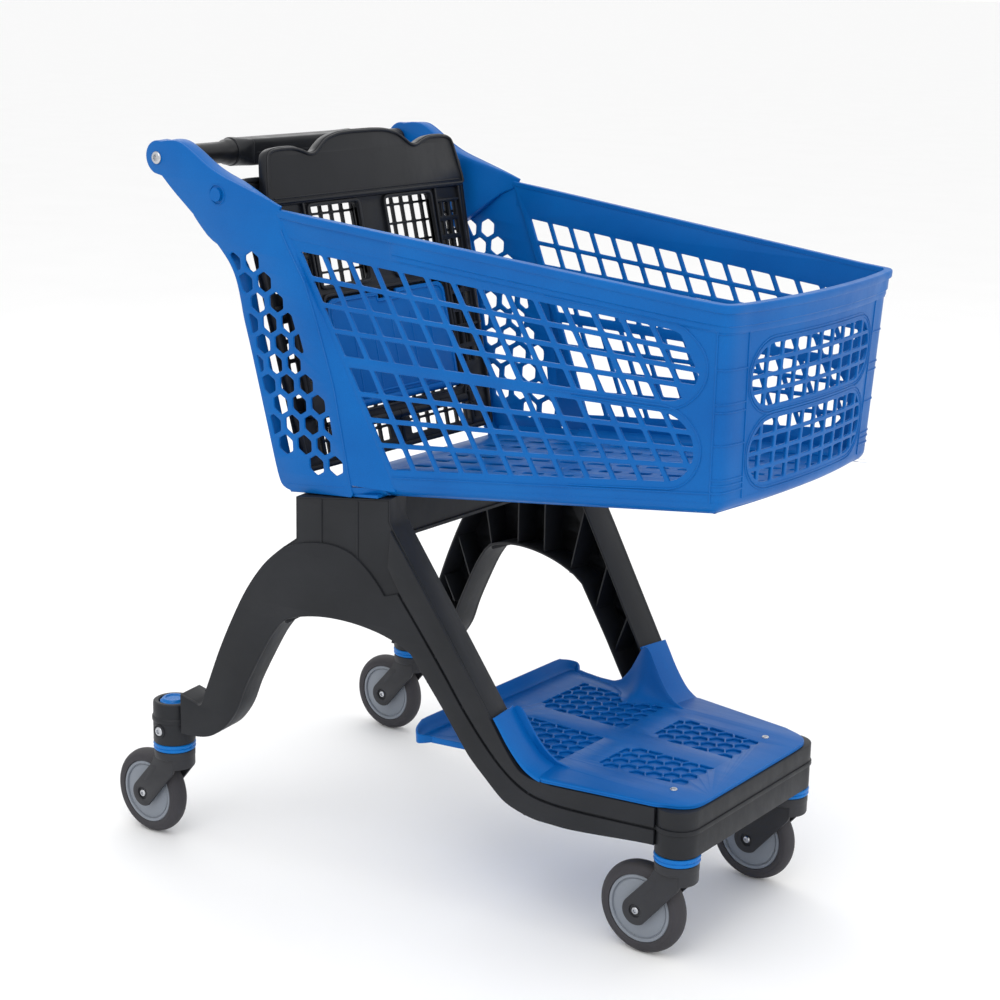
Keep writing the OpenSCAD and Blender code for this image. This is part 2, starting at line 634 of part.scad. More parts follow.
module ring_rear_right() ring(true, -1);
module ring_rear_left() ring(true, 1);
module ring_front_right() ring(false, -1);
module ring_front_left() ring(false, 1);
module fork_rear_right() fork(true, -1);
module fork_rear_left() fork(true, 1);
module fork_front_right() fork(false, -1);
module fork_front_left() fork(false, 1);
module hub_rear_right() hub(true, -1);
module hub_rear_left() hub(true, 1);
module hub_front_right() hub(false, -1);
module hub_front_left() hub(false, 1);
module tyre_rear_right() tyre(true, -1);
module tyre_rear_left() tyre(true, 1);
module tyre_front_right() tyre(false, -1);
module tyre_front_left() tyre(false, 1);
module axle_rear_right() axle(true, -1);
module axle_rear_left() axle(true, 1);
module axle_front_right() axle(false, -1);
module axle_front_left() axle(false, 1);

basket_side_right();
basket_side_left();
basket_cheek_right();
basket_cheek_left();
basket_front();
basket_floor();
handle_tube();
handle_sleeve();
handle_screws();
gate_frame();
gate_lugs();
gate_pins();
seat_back();
seat_back_pin();
seat_flap();
flap_pin();
side_frame_right();
side_frame_left();
rear_sockets();
socket_caps();
socket_screws();
front_crossmember();
cross_beam();
basket_bolts();
lower_tray();
tray_screws();
ring_rear_right();
ring_rear_left();
ring_front_right();
ring_front_left();
fork_rear_right();
fork_rear_left();
fork_front_right();
fork_front_left();
hub_rear_right();
hub_rear_left();
hub_front_right();
hub_front_left();
tyre_rear_right();
tyre_rear_left();
tyre_front_right();
tyre_front_left();
axle_rear_right();
axle_rear_left();
axle_front_right();
axle_front_left();
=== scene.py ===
"""Looks of a plastic supermarket trolley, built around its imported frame.

Lengths inside the classes are millimetres in the trolley's working frame: x forward from the rear
swivel axes, y to the left, z up from the floor. Trolley.put turns them into the frame's metres.
"""

import logging
import math
from dataclasses import dataclass
from enum import Enum
from typing import Callable, Iterable, Sequence

import bmesh
import bpy
from mathutils import Matrix, Vector

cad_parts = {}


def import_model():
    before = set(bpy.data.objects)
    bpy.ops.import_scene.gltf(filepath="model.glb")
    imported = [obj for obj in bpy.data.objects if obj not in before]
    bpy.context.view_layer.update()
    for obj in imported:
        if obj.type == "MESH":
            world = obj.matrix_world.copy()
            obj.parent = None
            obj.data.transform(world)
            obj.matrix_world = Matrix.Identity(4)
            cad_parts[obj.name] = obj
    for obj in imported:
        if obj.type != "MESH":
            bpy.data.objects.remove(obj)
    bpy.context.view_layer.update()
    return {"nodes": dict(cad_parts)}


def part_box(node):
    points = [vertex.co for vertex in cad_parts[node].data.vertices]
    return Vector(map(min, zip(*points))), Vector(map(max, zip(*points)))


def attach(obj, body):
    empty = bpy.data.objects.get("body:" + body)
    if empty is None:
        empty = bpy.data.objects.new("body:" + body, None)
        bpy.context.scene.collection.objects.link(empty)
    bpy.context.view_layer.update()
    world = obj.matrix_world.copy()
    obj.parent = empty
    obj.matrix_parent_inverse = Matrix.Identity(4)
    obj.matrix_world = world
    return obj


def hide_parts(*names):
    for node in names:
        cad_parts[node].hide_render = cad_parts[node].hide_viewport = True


log = logging.getLogger("trolley")

Point = tuple[float, float]
Place = Callable[[float, float, float], Vector]
Path = list[Vector]


# ---------- plane geometry ----------

def mix(a: float, b: float, t: float) -> float:
    """Value between a and b at share t."""
    return a + (b - a) * t


def ease(x: float, x0: float, x1: float) -> float:
    """Smooth step from 0 at x0 to 1 at x1."""
    t = min(max((x - x0) / (x1 - x0), 0.0), 1.0)
    return t * t * (3 - 2 * t)


def table(x: float, rows: Sequence[Point]) -> float:
    """Value at x on the broken line through (x, value) rows sorted by x."""
    if x <= rows[0][0]:
        return rows[0][1]
    for (x0, v0), (x1, v1) in zip(rows, rows[1:]):
        if x <= x1:
            return mix(v0, v1, (x - x0) / (x1 - x0))
    return rows[-1][1]


def smooth(points: Sequence[Sequence[float]], steps: int) -> list[tuple]:
    """Open Catmull-Rom curve through points of any dimension.

    Args:
        points: control points.
        steps: pieces between two neighbours.

    Returns:
        The curve's points as tuples.
    """
    last = len(points) - 1

    def at(i: int) -> Sequence[float]:
        """Control point i, held at the ends."""
        return points[min(max(i, 0), last)]

    out = []
    for i in range(last):
        a, b, c, d = at(i - 1), at(i), at(i + 1), at(i + 2)
        for k in range(steps):
            t = k / steps
            out.append(tuple(0.5 * (2 * q + (r - p) * t + (2 * p - 5 * q + 4 * r - s) * t * t
                                    + (3 * q - p - 3 * r + s) * t ** 3)
                             for p, q, r, s in zip(a, b, c, d)))
    out.append(tuple(points[-1]))
    return out


def area(poly: Sequence[Point]) -> float:
    """Signed area of a closed outline."""
    return sum(a[0] * b[1] - b[0] * a[1] for a, b in zip(poly, [*poly[1:], poly[0]])) / 2


def clip(poly: Sequence[Point], window: Sequence[Point]) -> list[Point]:
    """The part of a convex outline inside a convex window (both closed)."""
    turn = 1 if area(window) > 0 else -1
    out = list(poly)
    for (ax, ay), (bx, by) in zip(window, [*window[1:], window[0]]):
        def inside(p: Point) -> float:
            """Positive on the window's side of this edge."""
            return turn * ((bx - ax) * (p[1] - ay) - (by - ay) * (p[0] - ax))
        kept = []
        for p, q in zip(out, [*out[1:], out[0]] if out else []):
            dp, dq = inside(p), inside(q)
            if dp >= 0:
                kept.append(p)
            if dp * dq < 0:
                t = dp / (dp - dq)
                kept.append((mix(p[0], q[0], t), mix(p[1], q[1], t)))
        out = kept
    return out


def rounded(poly: Sequence[Point], radius: float, steps: int = 3) -> list[Point]:
    """Closed outline with its corners rounded.

    Args:
        poly: corner points.
        radius: cut-back length at each corner, shortened on short edges.
        steps: segments per corner.

    Returns:
        The rounded outline.
    """
    pts = [Vector(p) for i, p in enumerate(poly) if (Vector(p) - Vector(poly[i - 1])).length > 0.4]
    out = []
    for i, p in enumerate(pts):
        a, b = pts[i - 1], pts[(i + 1) % len(pts)]
        cut = min(radius, 0.45 * (a - p).length, 0.45 * (b - p).length)
        s, e = p + (a - p).normalized() * cut, p + (b - p).normalized() * cut
        for k in range(steps + 1):
            t = k / steps
            q = s * (1 - t) ** 2 + p * 2 * t * (1 - t) + e * t * t
            out.append((q.x, q.y))
    return out


def grown(poly: Sequence[Point], by: float, paired: bool = False) -> list[Point]:
    """Closed outline moved outwards along its normals (inwards when by is negative).

    Args:
        poly: the outline.
        by: how far it moves.
        paired: keeps one new point for each old one, even where they cross over in a tight corner.

    Returns:
        The moved outline.
    """
    turn = 1 if area(poly) > 0 else -1
    out = []
    for i, p in enumerate(poly):
        a, b = poly[i - 1], poly[(i + 1) % len(poly)]
        n1 = Vector((p[1] - a[1], a[0] - p[0])).normalized()
        n2 = Vector((b[1] - p[1], p[0] - b[0])).normalized()
        n = n1 + n2
        if n.length < 1e-6:
            n = n1
        n = n.normalized() / max(0.5, n.normalized().dot(n1))
        out.append((p[0] + n.x * by * turn, p[1] + n.y * by * turn))
    if by < 0 and not paired:
        # Where a corner is tighter than the step, the moved points cross over; those are dropped.
        out = [q for q in out if gap(q, poly) > -0.96 * by]
    return out


def gap(q: Point, poly: Sequence[Point]) -> float:
    """Distance from a point to a closed outline."""
    best = 1e9
    for a, b in zip(poly, [*poly[1:], poly[0]]):
        dx, dy = b[0] - a[0], b[1] - a[1]
        size = dx * dx + dy * dy
        t = min(max(((q[0] - a[0]) * dx + (q[1] - a[1]) * dy) / size, 0.0), 1.0) if size else 0.0
        best = min(best, math.hypot(a[0] + dx * t - q[0], a[1] + dy * t - q[1]))
    return best


def shifted(line: Sequence[Point], by: float) -> list[Point]:
    """Open line moved to its right-hand side."""
    out = []
    for i, p in enumerate(line):
        a, b = line[max(i - 1, 0)], line[min(i + 1, len(line) - 1)]
        d = Vector((b[0] - a[0], b[1] - a[1])).normalized()
        out.append((p[0] + d.y * by, p[1] - d.x * by))
    return out


def distinct(loop: Sequence[Point], least: float) -> list[Point]:
    """Closed outline without the points that lie within a least distance of the one before."""
    return [p for i, p in enumerate(loop) if math.dist(p, loop[i - 1]) > least]


def arc(u: float, v: float, r: float, start: float, step: float, count: int) -> list[Point]:
    """Points of a circle from a start angle on, a step apart (degrees)."""
    turns = (math.radians(start + step * k) for k in range(count))
    return [(u + r * math.cos(a), v + r * math.sin(a)) for a in turns]


def circle(u: float, v: float, r: float, steps: int) -> list[Point]:
    """Circle outline."""
    turns = (math.tau * k / steps for k in range(steps))
    return [(u + r * math.cos(a), v + r * math.sin(a)) for a in turns]


def box_outline(u0: float, u1: float, v0: float, v1: float, radius: float = 0.0) -> list[Point]:
    """Rectangle outline with optional rounded corners."""
    corners = [(u0, v0), (u1, v0), (u1, v1), (u0, v1)]
    return rounded(corners, radius) if radius else corners


def stadium(u0: float, u1: float, v0: float, v1: float, steps: int = 12) -> list[Point]:
    """Rectangle outline whose two short ends are half circles."""
    r, mid = (v1 - v0) / 2, (v0 + v1) / 2
    out = []
    for centre, start in ((u1 - r, -90), (u0 + r, 90)):
        for k in range(steps + 1):
            a = math.radians(start + 180 * k / steps)
            out.append((centre + r * math.cos(a), mid + r * math.sin(a)))
    return out


# ---------- mesh building ----------

class Moulding:
    """Collects the closed shells of one piece and turns them into one Blender object."""

    def __init__(self, name: str) -> None:
        """Starts an empty piece."""
        self.name = name
        self.bm = bmesh.new()

    def sheet(self, outline: Sequence[Point], holes: Iterable[Sequence[Point]], w0: float, w1: float,
              place: Place, edge: float = 0.6, cuts: Sequence[float] = ()) -> None:
        """Adds a plate cut to an outline, with softened edges.

        Args:
            outline: closed outer outline in the sheet's own (u, v).
            holes: closed outlines cut out of it.
            w0: lower face of the plate along its normal.
            w1: upper face.
            place: maps (u, v, w) to the working frame.
            edge: radius of the softened edges.
            cuts: u positions where the plate is divided so that it can bend.
        """
        curve = bpy.data.curves.new(self.name, "CURVE")
        curve.dimensions, curve.fill_mode = "2D", "BOTH"
        edge = min(edge, (w1 - w0) * 0.49)
        curve.extrude = (w1 - w0) / 2 - edge
        curve.bevel_depth, curve.offset, curve.bevel_resolution = edge, -edge, 1
        for loop in (outline, *holes):
            spline = curve.splines.new("POLY")
            spline.points.add(len(loop) - 1)
            for target, (u, v) in zip(spline.points, loop):
                target.co = (u, v, 0, 1)
            spline.use_cyclic_u = True
        holder = bpy.data.objects.new(self.name, curve)
        bpy.context.scene.collection.objects.link(holder)
        mesh = bpy.data.meshes.new_from_object(holder.evaluated_get(bpy.context.evaluated_depsgraph_get()))
        bpy.data.objects.remove(holder)
        part = bmesh.new()
        part.from_mesh(mesh)
        bpy.data.meshes.remove(mesh)
        bmesh.ops.remove_doubles(part, verts=part.verts, dist=1e-3)
        for u in cuts:
            bmesh.ops.bisect_plane(part, geom=[*part.verts, *part.edges, *part.faces], dist=1e-3,
                                   plane_co=(u, 0, 0), plane_no=(1, 0, 0))
        mid = (w0 + w1) / 2
        for vert in part.verts:
            vert.co = place(vert.co.x, vert.co.y, vert.co.z + mid)
        self.join(part)

    def border(self, outline: Sequence[Point], width: float, w0: float, w1: float, place: Place,
               edge: float = 0.6) -> None:
        """Adds a raised border that follows an outline on its inside.

        Args:
            outline: closed outer outline.
            width: width of the border.
            w0: its lower face along the normal.
            w1: its upper face.
            place: maps (u, v, w) to the working frame.
            edge: size of its softened edges.
        """
        e = min(edge, width * 0.45, (w1 - w0) * 0.45)
        rows = [(e, w0), (e * 0.3, w0 + e * 0.3), (0, w0 + e), (0, w1 - e), (e * 0.3, w1 - e * 0.3),
                (e, w1),
                (width - e, w1), (width - e * 0.3, w1 - e * 0.3), (width, w1 - e), (width, w0 + e),
                (width - e * 0.3, w0 + e * 0.3), (width - e, w0)]
        loops = [[place(u, v, w) for u, v in grown(outline, -d, True)] for d, w in rows]
        self.loft([list(ring) for ring in zip(*loops)], loop=True)

    def join(self, part: bmesh.types.BMesh) -> None:
        """Moves another mesh's faces into this piece."""
        mesh = bpy.data.meshes.new("part")
        part.to_mesh(mesh)
        part.free()
        self.bm.from_mesh(mesh)
        bpy.data.meshes.remove(mesh)

    def loft(self, rings: Sequence[Path], loop: bool = False) -> None:
        """Skins a row of closed rings with quads.

        Args:
            rings: rings with the same number of points.
            loop: whether the last ring joins the first, instead of both being capped.
        """
        rows = [[self.bm.verts.new(p) for p in ring] for ring in rings]
        n = len(rows[0])
        pairs = list(zip(rows, rows[1:])) + ([(rows[-1], rows[0])] if loop else [])
        for a, b in pairs:
            for i in range(n):
                j = (i + 1) % n
                self.bm.faces.new((a[i], a[j], b[j], b[i]))
        if not loop:
            for row in (rows[0], rows[-1]):
                self.bm.faces.new(row)

    def sweep(self, path: Path, profile: Callable[[int], Sequence[Point]], sides: Sequence[Vector],
              ups: Sequence[Vector]) -> None:
        """Carries a closed profile along an open path.

        Args:
            path: points of the path.
            profile: gives the (side, up) outline at each path index.
            sides: unit side direction at each point.
            ups: unit up direction at each point.
        """
        rings = [[p + s * a + u * b for a, b in profile(i)]
                 for i, (p, s, u) in enumerate(zip(path, sides, ups))]
        self.loft(rings)

    def tube(self, path: Sequence[Sequence[float]], radius: float, sides: int = 8,
             loop: bool = False) -> None:
        """Adds a round bead of one radius along a path."""
        pts = [Vector(p) for p in path]
        n = len(pts)
        rings, normal = [], None
        for i, p in enumerate(pts):
            ahead = pts[(i + 1) % n] if loop else pts[min(i + 1, n - 1)]
            behind = pts[i - 1] if loop else pts[max(i - 1, 0)]
            t = (ahead - behind).normalized()
            if normal is None:
                normal = t.orthogonal()
            normal = (normal - t * normal.dot(t)).normalized()
            other = t.cross(normal)
            rings.append([p + (normal * math.cos(a) + other * math.sin(a)) * radius
                          for a in (math.tau * k / sides for k in range(sides))])
        self.loft(rings, loop=loop)

    def lathe(self, profile: Sequence[Point], centre: Vector, axis: Vector, steps: int) -> None:
        """Turns a closed (radius, height) profile round an axis.

        Args:
            profile: closed outline of (radius, height along the axis).
            centre: point at height zero.
            axis: direction of the axis.
            steps: number of steps round the axis.
        """
        axis = axis.normalized()
        e1 = axis.orthogonal().normalized()
        e2 = axis.cross(e1)
        rings = [[centre + axis * h + (e1 * math.cos(a) + e2 * math.sin(a)) * r for r, h in profile]
                 for a in (math.tau * k / steps for k in range(steps))]
        self.loft(rings, loop=True)

    def build(self, finish: "Finish", body: str, replaces: Sequence[str] = (), angle: float = 32.0,
              ) -> bpy.types.Object:
        """Makes the object, dresses it and hangs it on its body.

        Args:
            finish: the finish it gets.
            body: the frame's body it rides on.
            replaces: frame nodes it stands for.
            angle: edges sharper than this stay sharp.

        Returns:
            The finished object.
        """
        bmesh.ops.remove_doubles(self.bm, verts=self.bm.verts, dist=1e-4)
        bmesh.ops.dissolve_degenerate(self.bm, edges=self.bm.edges, dist=1e-4)
        bmesh.ops.recalc_face_normals(self.bm, faces=self.bm.faces)
        mesh = bpy.data.meshes.new(self.name)
        for vert in self.bm.verts:
            vert.co = Trolley.put(vert.co)
        self.bm.to_mesh(mesh)
        self.bm.free()
        mesh.shade_smooth()
        mesh.set_sharp_from_angle(angle=math.radians(angle))
        thing = bpy.data.objects.new(self.name, mesh)
        bpy.context.scene.collection.objects.link(thing)
        mesh.materials.append(finish.material())
        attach(thing, body)
        if replaces:
            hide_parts(*replaces)
        log.info("%s: %d faces on %s", self.name, len(mesh.polygons), body)
        return thing


# ---------- finishes ----------

def linear(code: str, alpha: float = 1.0) -> tuple[float, float, float, float]:
    """sRGB hex colour as linear RGBA."""
    parts = [int(code.lstrip("#")[i:i + 2], 16) / 255 for i in (0, 2, 4)]
    r, g, b = (c / 12.92 if c <= 0.04045 else ((c + 0.055) / 1.055) ** 2.4 for c in parts)
    return r, g, b, alpha


def node(tree: bpy.types.NodeTree, kind: str, inputs: dict | None = None, **settings) -> bpy.types.Node:
    """Adds a node with its settings and links.

    Args:
        tree: node tree to add to.
        kind: Blender's node type.
        inputs: socket name or number to a value or to another node's output socket.
        **settings: attributes set on the node.

    Returns:
        The new node.
    """
    made = tree.nodes.new(kind)
    for key, value in settings.items():
        setattr(made, key, value)
    for key, value in (inputs or {}).items():
        if isinstance(value, bpy.types.NodeSocket):
            tree.links.new(value, made.inputs[key])
        else:
            made.inputs[key].default_value = value
    return made


def spread(tree: bpy.types.NodeTree, value: bpy.types.NodeSocket, source: Point,
           target: Point) -> bpy.types.NodeSocket:
    """Carries a value from one range to another, held at the ends.

    Args:
        tree: node tree to add to.
        value: socket that gives the value.
        source: its low and high end.
        target: what those ends become.

    Returns:
        The socket with the mapped value.
    """
    made = node(tree, "ShaderNodeMapRange", {"Value": value, "From Min": source[0], "From Max": source[1],
                                             "To Min": target[0], "To Max": target[1]})
    return made.outputs[0]


class Gloss(Enum):
    """How a moulded surface came out of its tool."""

    POLISHED = 0.26
    SATIN = 0.36
    GRAINED = 0.48
    RUBBED = 0.66


def per_mm(size: float) -> float:
    """Noise scale whose features are about size millimetres."""
    return 1000.0 / size


@dataclass(frozen=True)
class Finish:
    """A procedural finish: base colours, grain, scuffs and grime."""

    name: str
    slot: str
    base: str
    worn: str
    gloss: Gloss
    grain_mm: float = 1.2
    grain_depth: float = 0.05
    scuff: float = 0.35
    dust: str = "8f8f8c"
    dust_share: float = 0.10
    metal: float = 0.0
    ior: float = 1.5
    specular: float = 0.5
    stretch: tuple[float, float, float] = (1.0, 1.0, 1.0)

    def material(self) -> bpy.types.Material:
        """The finish's material, made once."""
        found = bpy.data.materials.get(self.name)
        if found:
            return found
        mat = bpy.data.materials.new(self.name)
        mat.use_nodes = True
        tree = mat.node_tree
        tree.nodes.clear()
        where = node(tree, "ShaderNodeTexCoord").outputs["Object"]
        drawn = node(tree, "ShaderNodeMapping", {"Vector": where, "Scale": self.stretch})
        cloud = node(tree, "ShaderNodeTexNoise", {"Vector": where, "Scale": per_mm(120), "Detail": 3.0})
        grain = node(tree, "ShaderNodeTexNoise",
                     {"Vector": drawn.outputs[0], "Scale": per_mm(self.grain_mm),
                                                  "Detail": 4.0, "Roughness": 0.6})
        # Scuffs: long thin marks where a warped wave of noise crosses its middle value.
        warp = node(tree, "ShaderNodeMapping", {"Vector": where, "Scale": (1.0, 5.0, 2.2),
                                                "Rotation": (0.3, 0.5, 0.7)})
        marks = node(tree, "ShaderNodeTexNoise",
                     {"Vector": warp.outputs[0], "Scale": per_mm(90), "Detail": 8.0,
                                                  "Roughness": 0.75})
        thin = spread(tree, marks.outputs[0], (0.60, 0.74), (0.0, self.scuff))
        tone = spread(tree, cloud.outputs[0], (0.3, 0.7), (0.0, 0.55))
        base = node(tree, "ShaderNodeMix", {"Factor": tone, "A": linear(self.base),
                                            "B": linear(self.worn)}, data_type="RGBA")
        fleck = spread(tree, grain.outputs[0], (0.35, 0.65), (0.94, 1.06))
        grained = node(tree, "ShaderNodeVectorMath", {0: base.outputs["Result"], 1: fleck},
                       operation="MULTIPLY")
        scuffed = node(tree, "ShaderNodeMix", {"Factor": thin, "A": grained.outputs[0],
                                               "B": linear(self.worn)}, data_type="RGBA")
        # Dust settles on what faces up.
        up = node(tree, "ShaderNodeSeparateXYZ", {0: node(tree, "ShaderNodeNewGeometry").outputs["Normal"]})
        lying = spread(tree, up.outputs["Z"], (0.3, 1.0), (0.0, self.dust_share))
        patchy = node(tree, "ShaderNodeMath", {0: lying, 1: marks.outputs[0]}, operation="MULTIPLY")
        dusty = node(tree, "ShaderNodeMix", {"Factor": patchy.outputs[0], "A": scuffed.outputs["Result"],
                                             "B": linear(self.dust)}, data_type="RGBA")
        rough = spread(tree, marks.outputs[0], (0.3, 0.75),
                       (self.gloss.value - 0.05, self.gloss.value + 0.13))
        bump = node(tree, "ShaderNodeBump", {"Strength": 0.5, "Distance": self.grain_depth * 0.001,
                                             "Height": grain.outputs[0]})
        shader = node(tree, "ShaderNodeBsdfPrincipled", {
            "Base Color": dusty.outputs["Result"], "Roughness": rough, "Normal": bump.outputs[0],
            "Metallic": self.metal, "IOR": self.ior, "Specular IOR Level": self.specular})
        node(tree, "ShaderNodeOutputMaterial", {"Surface": shader.outputs[0]})
        return mat


# Injection-moulded polypropylene, blue through and through: an even satin skin with fine tool grain.
BLUE_PP = Finish("polypropylene_blue", "blue_moulding", "0056a0", "0468b4", Gloss.SATIN, 1.4, 0.04, 0.40,
                 dust="4c86c0", dust_share=0.03, specular=0.16)
# The same plastic in the collar rings and caps: smaller parts with a polished skin.
BLUE_CAP = Finish("polypropylene_blue_polished", "blue_moulding", "0066b4", "0872c0", Gloss.POLISHED, 1.0,
                  0.02,
                  0.2, dust="4c86c0", dust_share=0.03, specular=0.22)
# Glass-filled polypropylene, black: spark-eroded tool grain that scuffs to grey.
BLACK_PP = Finish("polypropylene_black", "black_moulding", "15171b", "24262b", Gloss.GRAINED, 1.1, 0.07,
                  0.45,
                  dust="55565a", dust_share=0.12, ior=1.49, specular=0.3)
# Polished black polypropylene of the gate and the child seat.
SEAT_PP = Finish("polypropylene_seat_black", "black_moulding", "111317", "1e2025", Gloss.SATIN, 1.1, 0.05,
                 0.40,
                 dust="4c4d50", dust_share=0.10, ior=1.49, specular=0.3)
# Handle in black polyamide, polished by hands.
GRIP = Finish("polyamide_grip", "handle_black", "101114", "1f2024", Gloss.SATIN, 1.6, 0.03, 0.5,
              dust_share=0.05,
              specular=0.35)
# Fork in dark grey glass-filled polyamide: dull, slightly fibrous skin.
FORK_PA = Finish("polyamide_fork_grey", "fork_grey", "26272b", "343539", Gloss.GRAINED, 1.0, 0.06, 0.45,
                 dust_share=0.08, stretch=(1.0, 1.0, 2.5), specular=0.3)
# Wheel centre in mid grey polypropylene.
HUB_PP = Finish("polypropylene_hub_grey", "hub_grey", "737a84", "868c95", Gloss.SATIN, 1.0, 0.04, 0.30,
                dust="b9b7b1", dust_share=0.10)
# Tread in soft grey-black thermoplastic rubber: matt, with scrubbed patches.
TREAD = Finish("thermoplastic_rubber", "tyre", "333236", "434246", Gloss.RUBBED, 1.8, 0.10, 0.5,
               dust="7d7a75",
               dust_share=0.2, specular=0.3)
# Zinc-plated steel screws and bolts: bright, faintly streaked.
STEEL = Finish("zinc_plated_steel", "steel", "c6c8cc", "a9abb0", Gloss.POLISHED, 0.8, 0.02, 0.4, metal=1.0,
               dust_share=0.04, stretch=(1.0, 6.0, 1.0))


# ---------- the trolley's frame ----------

class Trolley:
    """Sizes that several sub-assemblies share, in the working frame."""

    MID = 379.25
    CHEEK_X, CHEEK_Y = 209.0, 263.0
    RIM_Z, RIM_FALL = 925.0, 61.0 / 640.5
    REAR_W = 260.0
    TAPER, LEAN = math.radians(4.686), math.radians(3.5)
    TRACK, BASE, FRONT_TRACK = 270.5, 769.0, 142.7
    SPLAY = math.atan((TRACK - FRONT_TRACK) / BASE)
    FLOOR_Z, FLOOR_K = 546.0, math.tan(math.radians(6.05))
    GATE_LEAN = math.radians(13.2)
    HINGE = (96.0, 937.0)
    HANDLE = (-13.0, 978.0)
    WHEEL_R, TRAIL = 62.5, 47.0

    @classmethod
    def read_frame(cls) -> None:
        """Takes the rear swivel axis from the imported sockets."""
        low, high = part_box("rear_sockets")
        cls.MID = -500.0 * (low.x + high.x)

    @classmethod
    def put(cls, p: Vector) -> Vector:
        """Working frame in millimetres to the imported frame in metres."""
        return Vector((p.x - cls.MID, p.y, p.z)) / 1000

    @classmethod
    def rim_z(cls, x: float) -> float:
        """Height of the rim at x."""
        return cls.RIM_Z - cls.RIM_FALL * (x - cls.CHEEK_X)

    @classmethod
    def floor_z(cls, x: float) -> float:
        """Height of the basket floor's underside at x."""
        return cls.FLOOR_Z + cls.FLOOR_K * (x - cls.CHEEK_X)

    @classmethod
    def wall(cls, side: int) -> Place:
        """Maps (x, z, out) onto a tapering side wall; side is -1 for the right one."""
        ct, st, cl, sl = math.cos(cls.TAPER), math.sin(cls.TAPER), math.cos(cls.LEAN), math.sin(cls.LEAN)

        def place(x: float, z: float, w: float) -> Vector:
            """Point of the wall."""
            u, v = (x - cls.CHEEK_X) / ct, (z - cls.RIM_Z) / cl
            out = v * sl + w * cl
            return Vector((cls.CHEEK_X + u * ct + out * st, side * (cls.REAR_W - u * st + out * ct),
                           cls.RIM_Z + v * cl - w * sl))
        return place

    @classmethod
    def cheek(cls, side: int) -> Place:
        """Maps (x, z, out) onto a cheek's plane, which runs straight along the trolley."""
        cl, sl = math.cos(cls.LEAN), math.sin(cls.LEAN)

        def place(x: float, z: float, w: float) -> Vector:
            """Point of the cheek."""
            v = (z - cls.RIM_Z) / cl
            return Vector((x, side * (cls.CHEEK_Y + v * sl + w * cl), z - w * sl))
        return place

    @classmethod
    def leg(cls, side: int) -> Place:
        """Maps (s, z, out) onto a side frame's upright plane."""
        c, s = math.cos(cls.SPLAY), math.sin(cls.SPLAY)

        def place(u: float, z: float, w: float) -> Vector:
            """Point of the side frame."""
            return Vector((u * c + w * s, side * (cls.TRACK - u * s + w * c), z))
        return place

    @classmethod
    def gate(cls) -> Place:
        """Maps (y, z along the gate, ahead of the hinge axis) onto the gate."""
        c, s = math.cos(cls.GATE_LEAN), math.sin(cls.GATE_LEAN)

        def place(y: float, z: float, a: float) -> Vector:
            """Point of the gate."""
            return Vector((cls.HINGE[0] + a * c - z * s, y, cls.HINGE[1] + a * s + z * c))
        return place

    @classmethod
    def level(cls) -> Place:
        """Maps (x, y, z) straight."""
        return lambda x, y, z: Vector((x, y, z))


# ---------- basket ----------

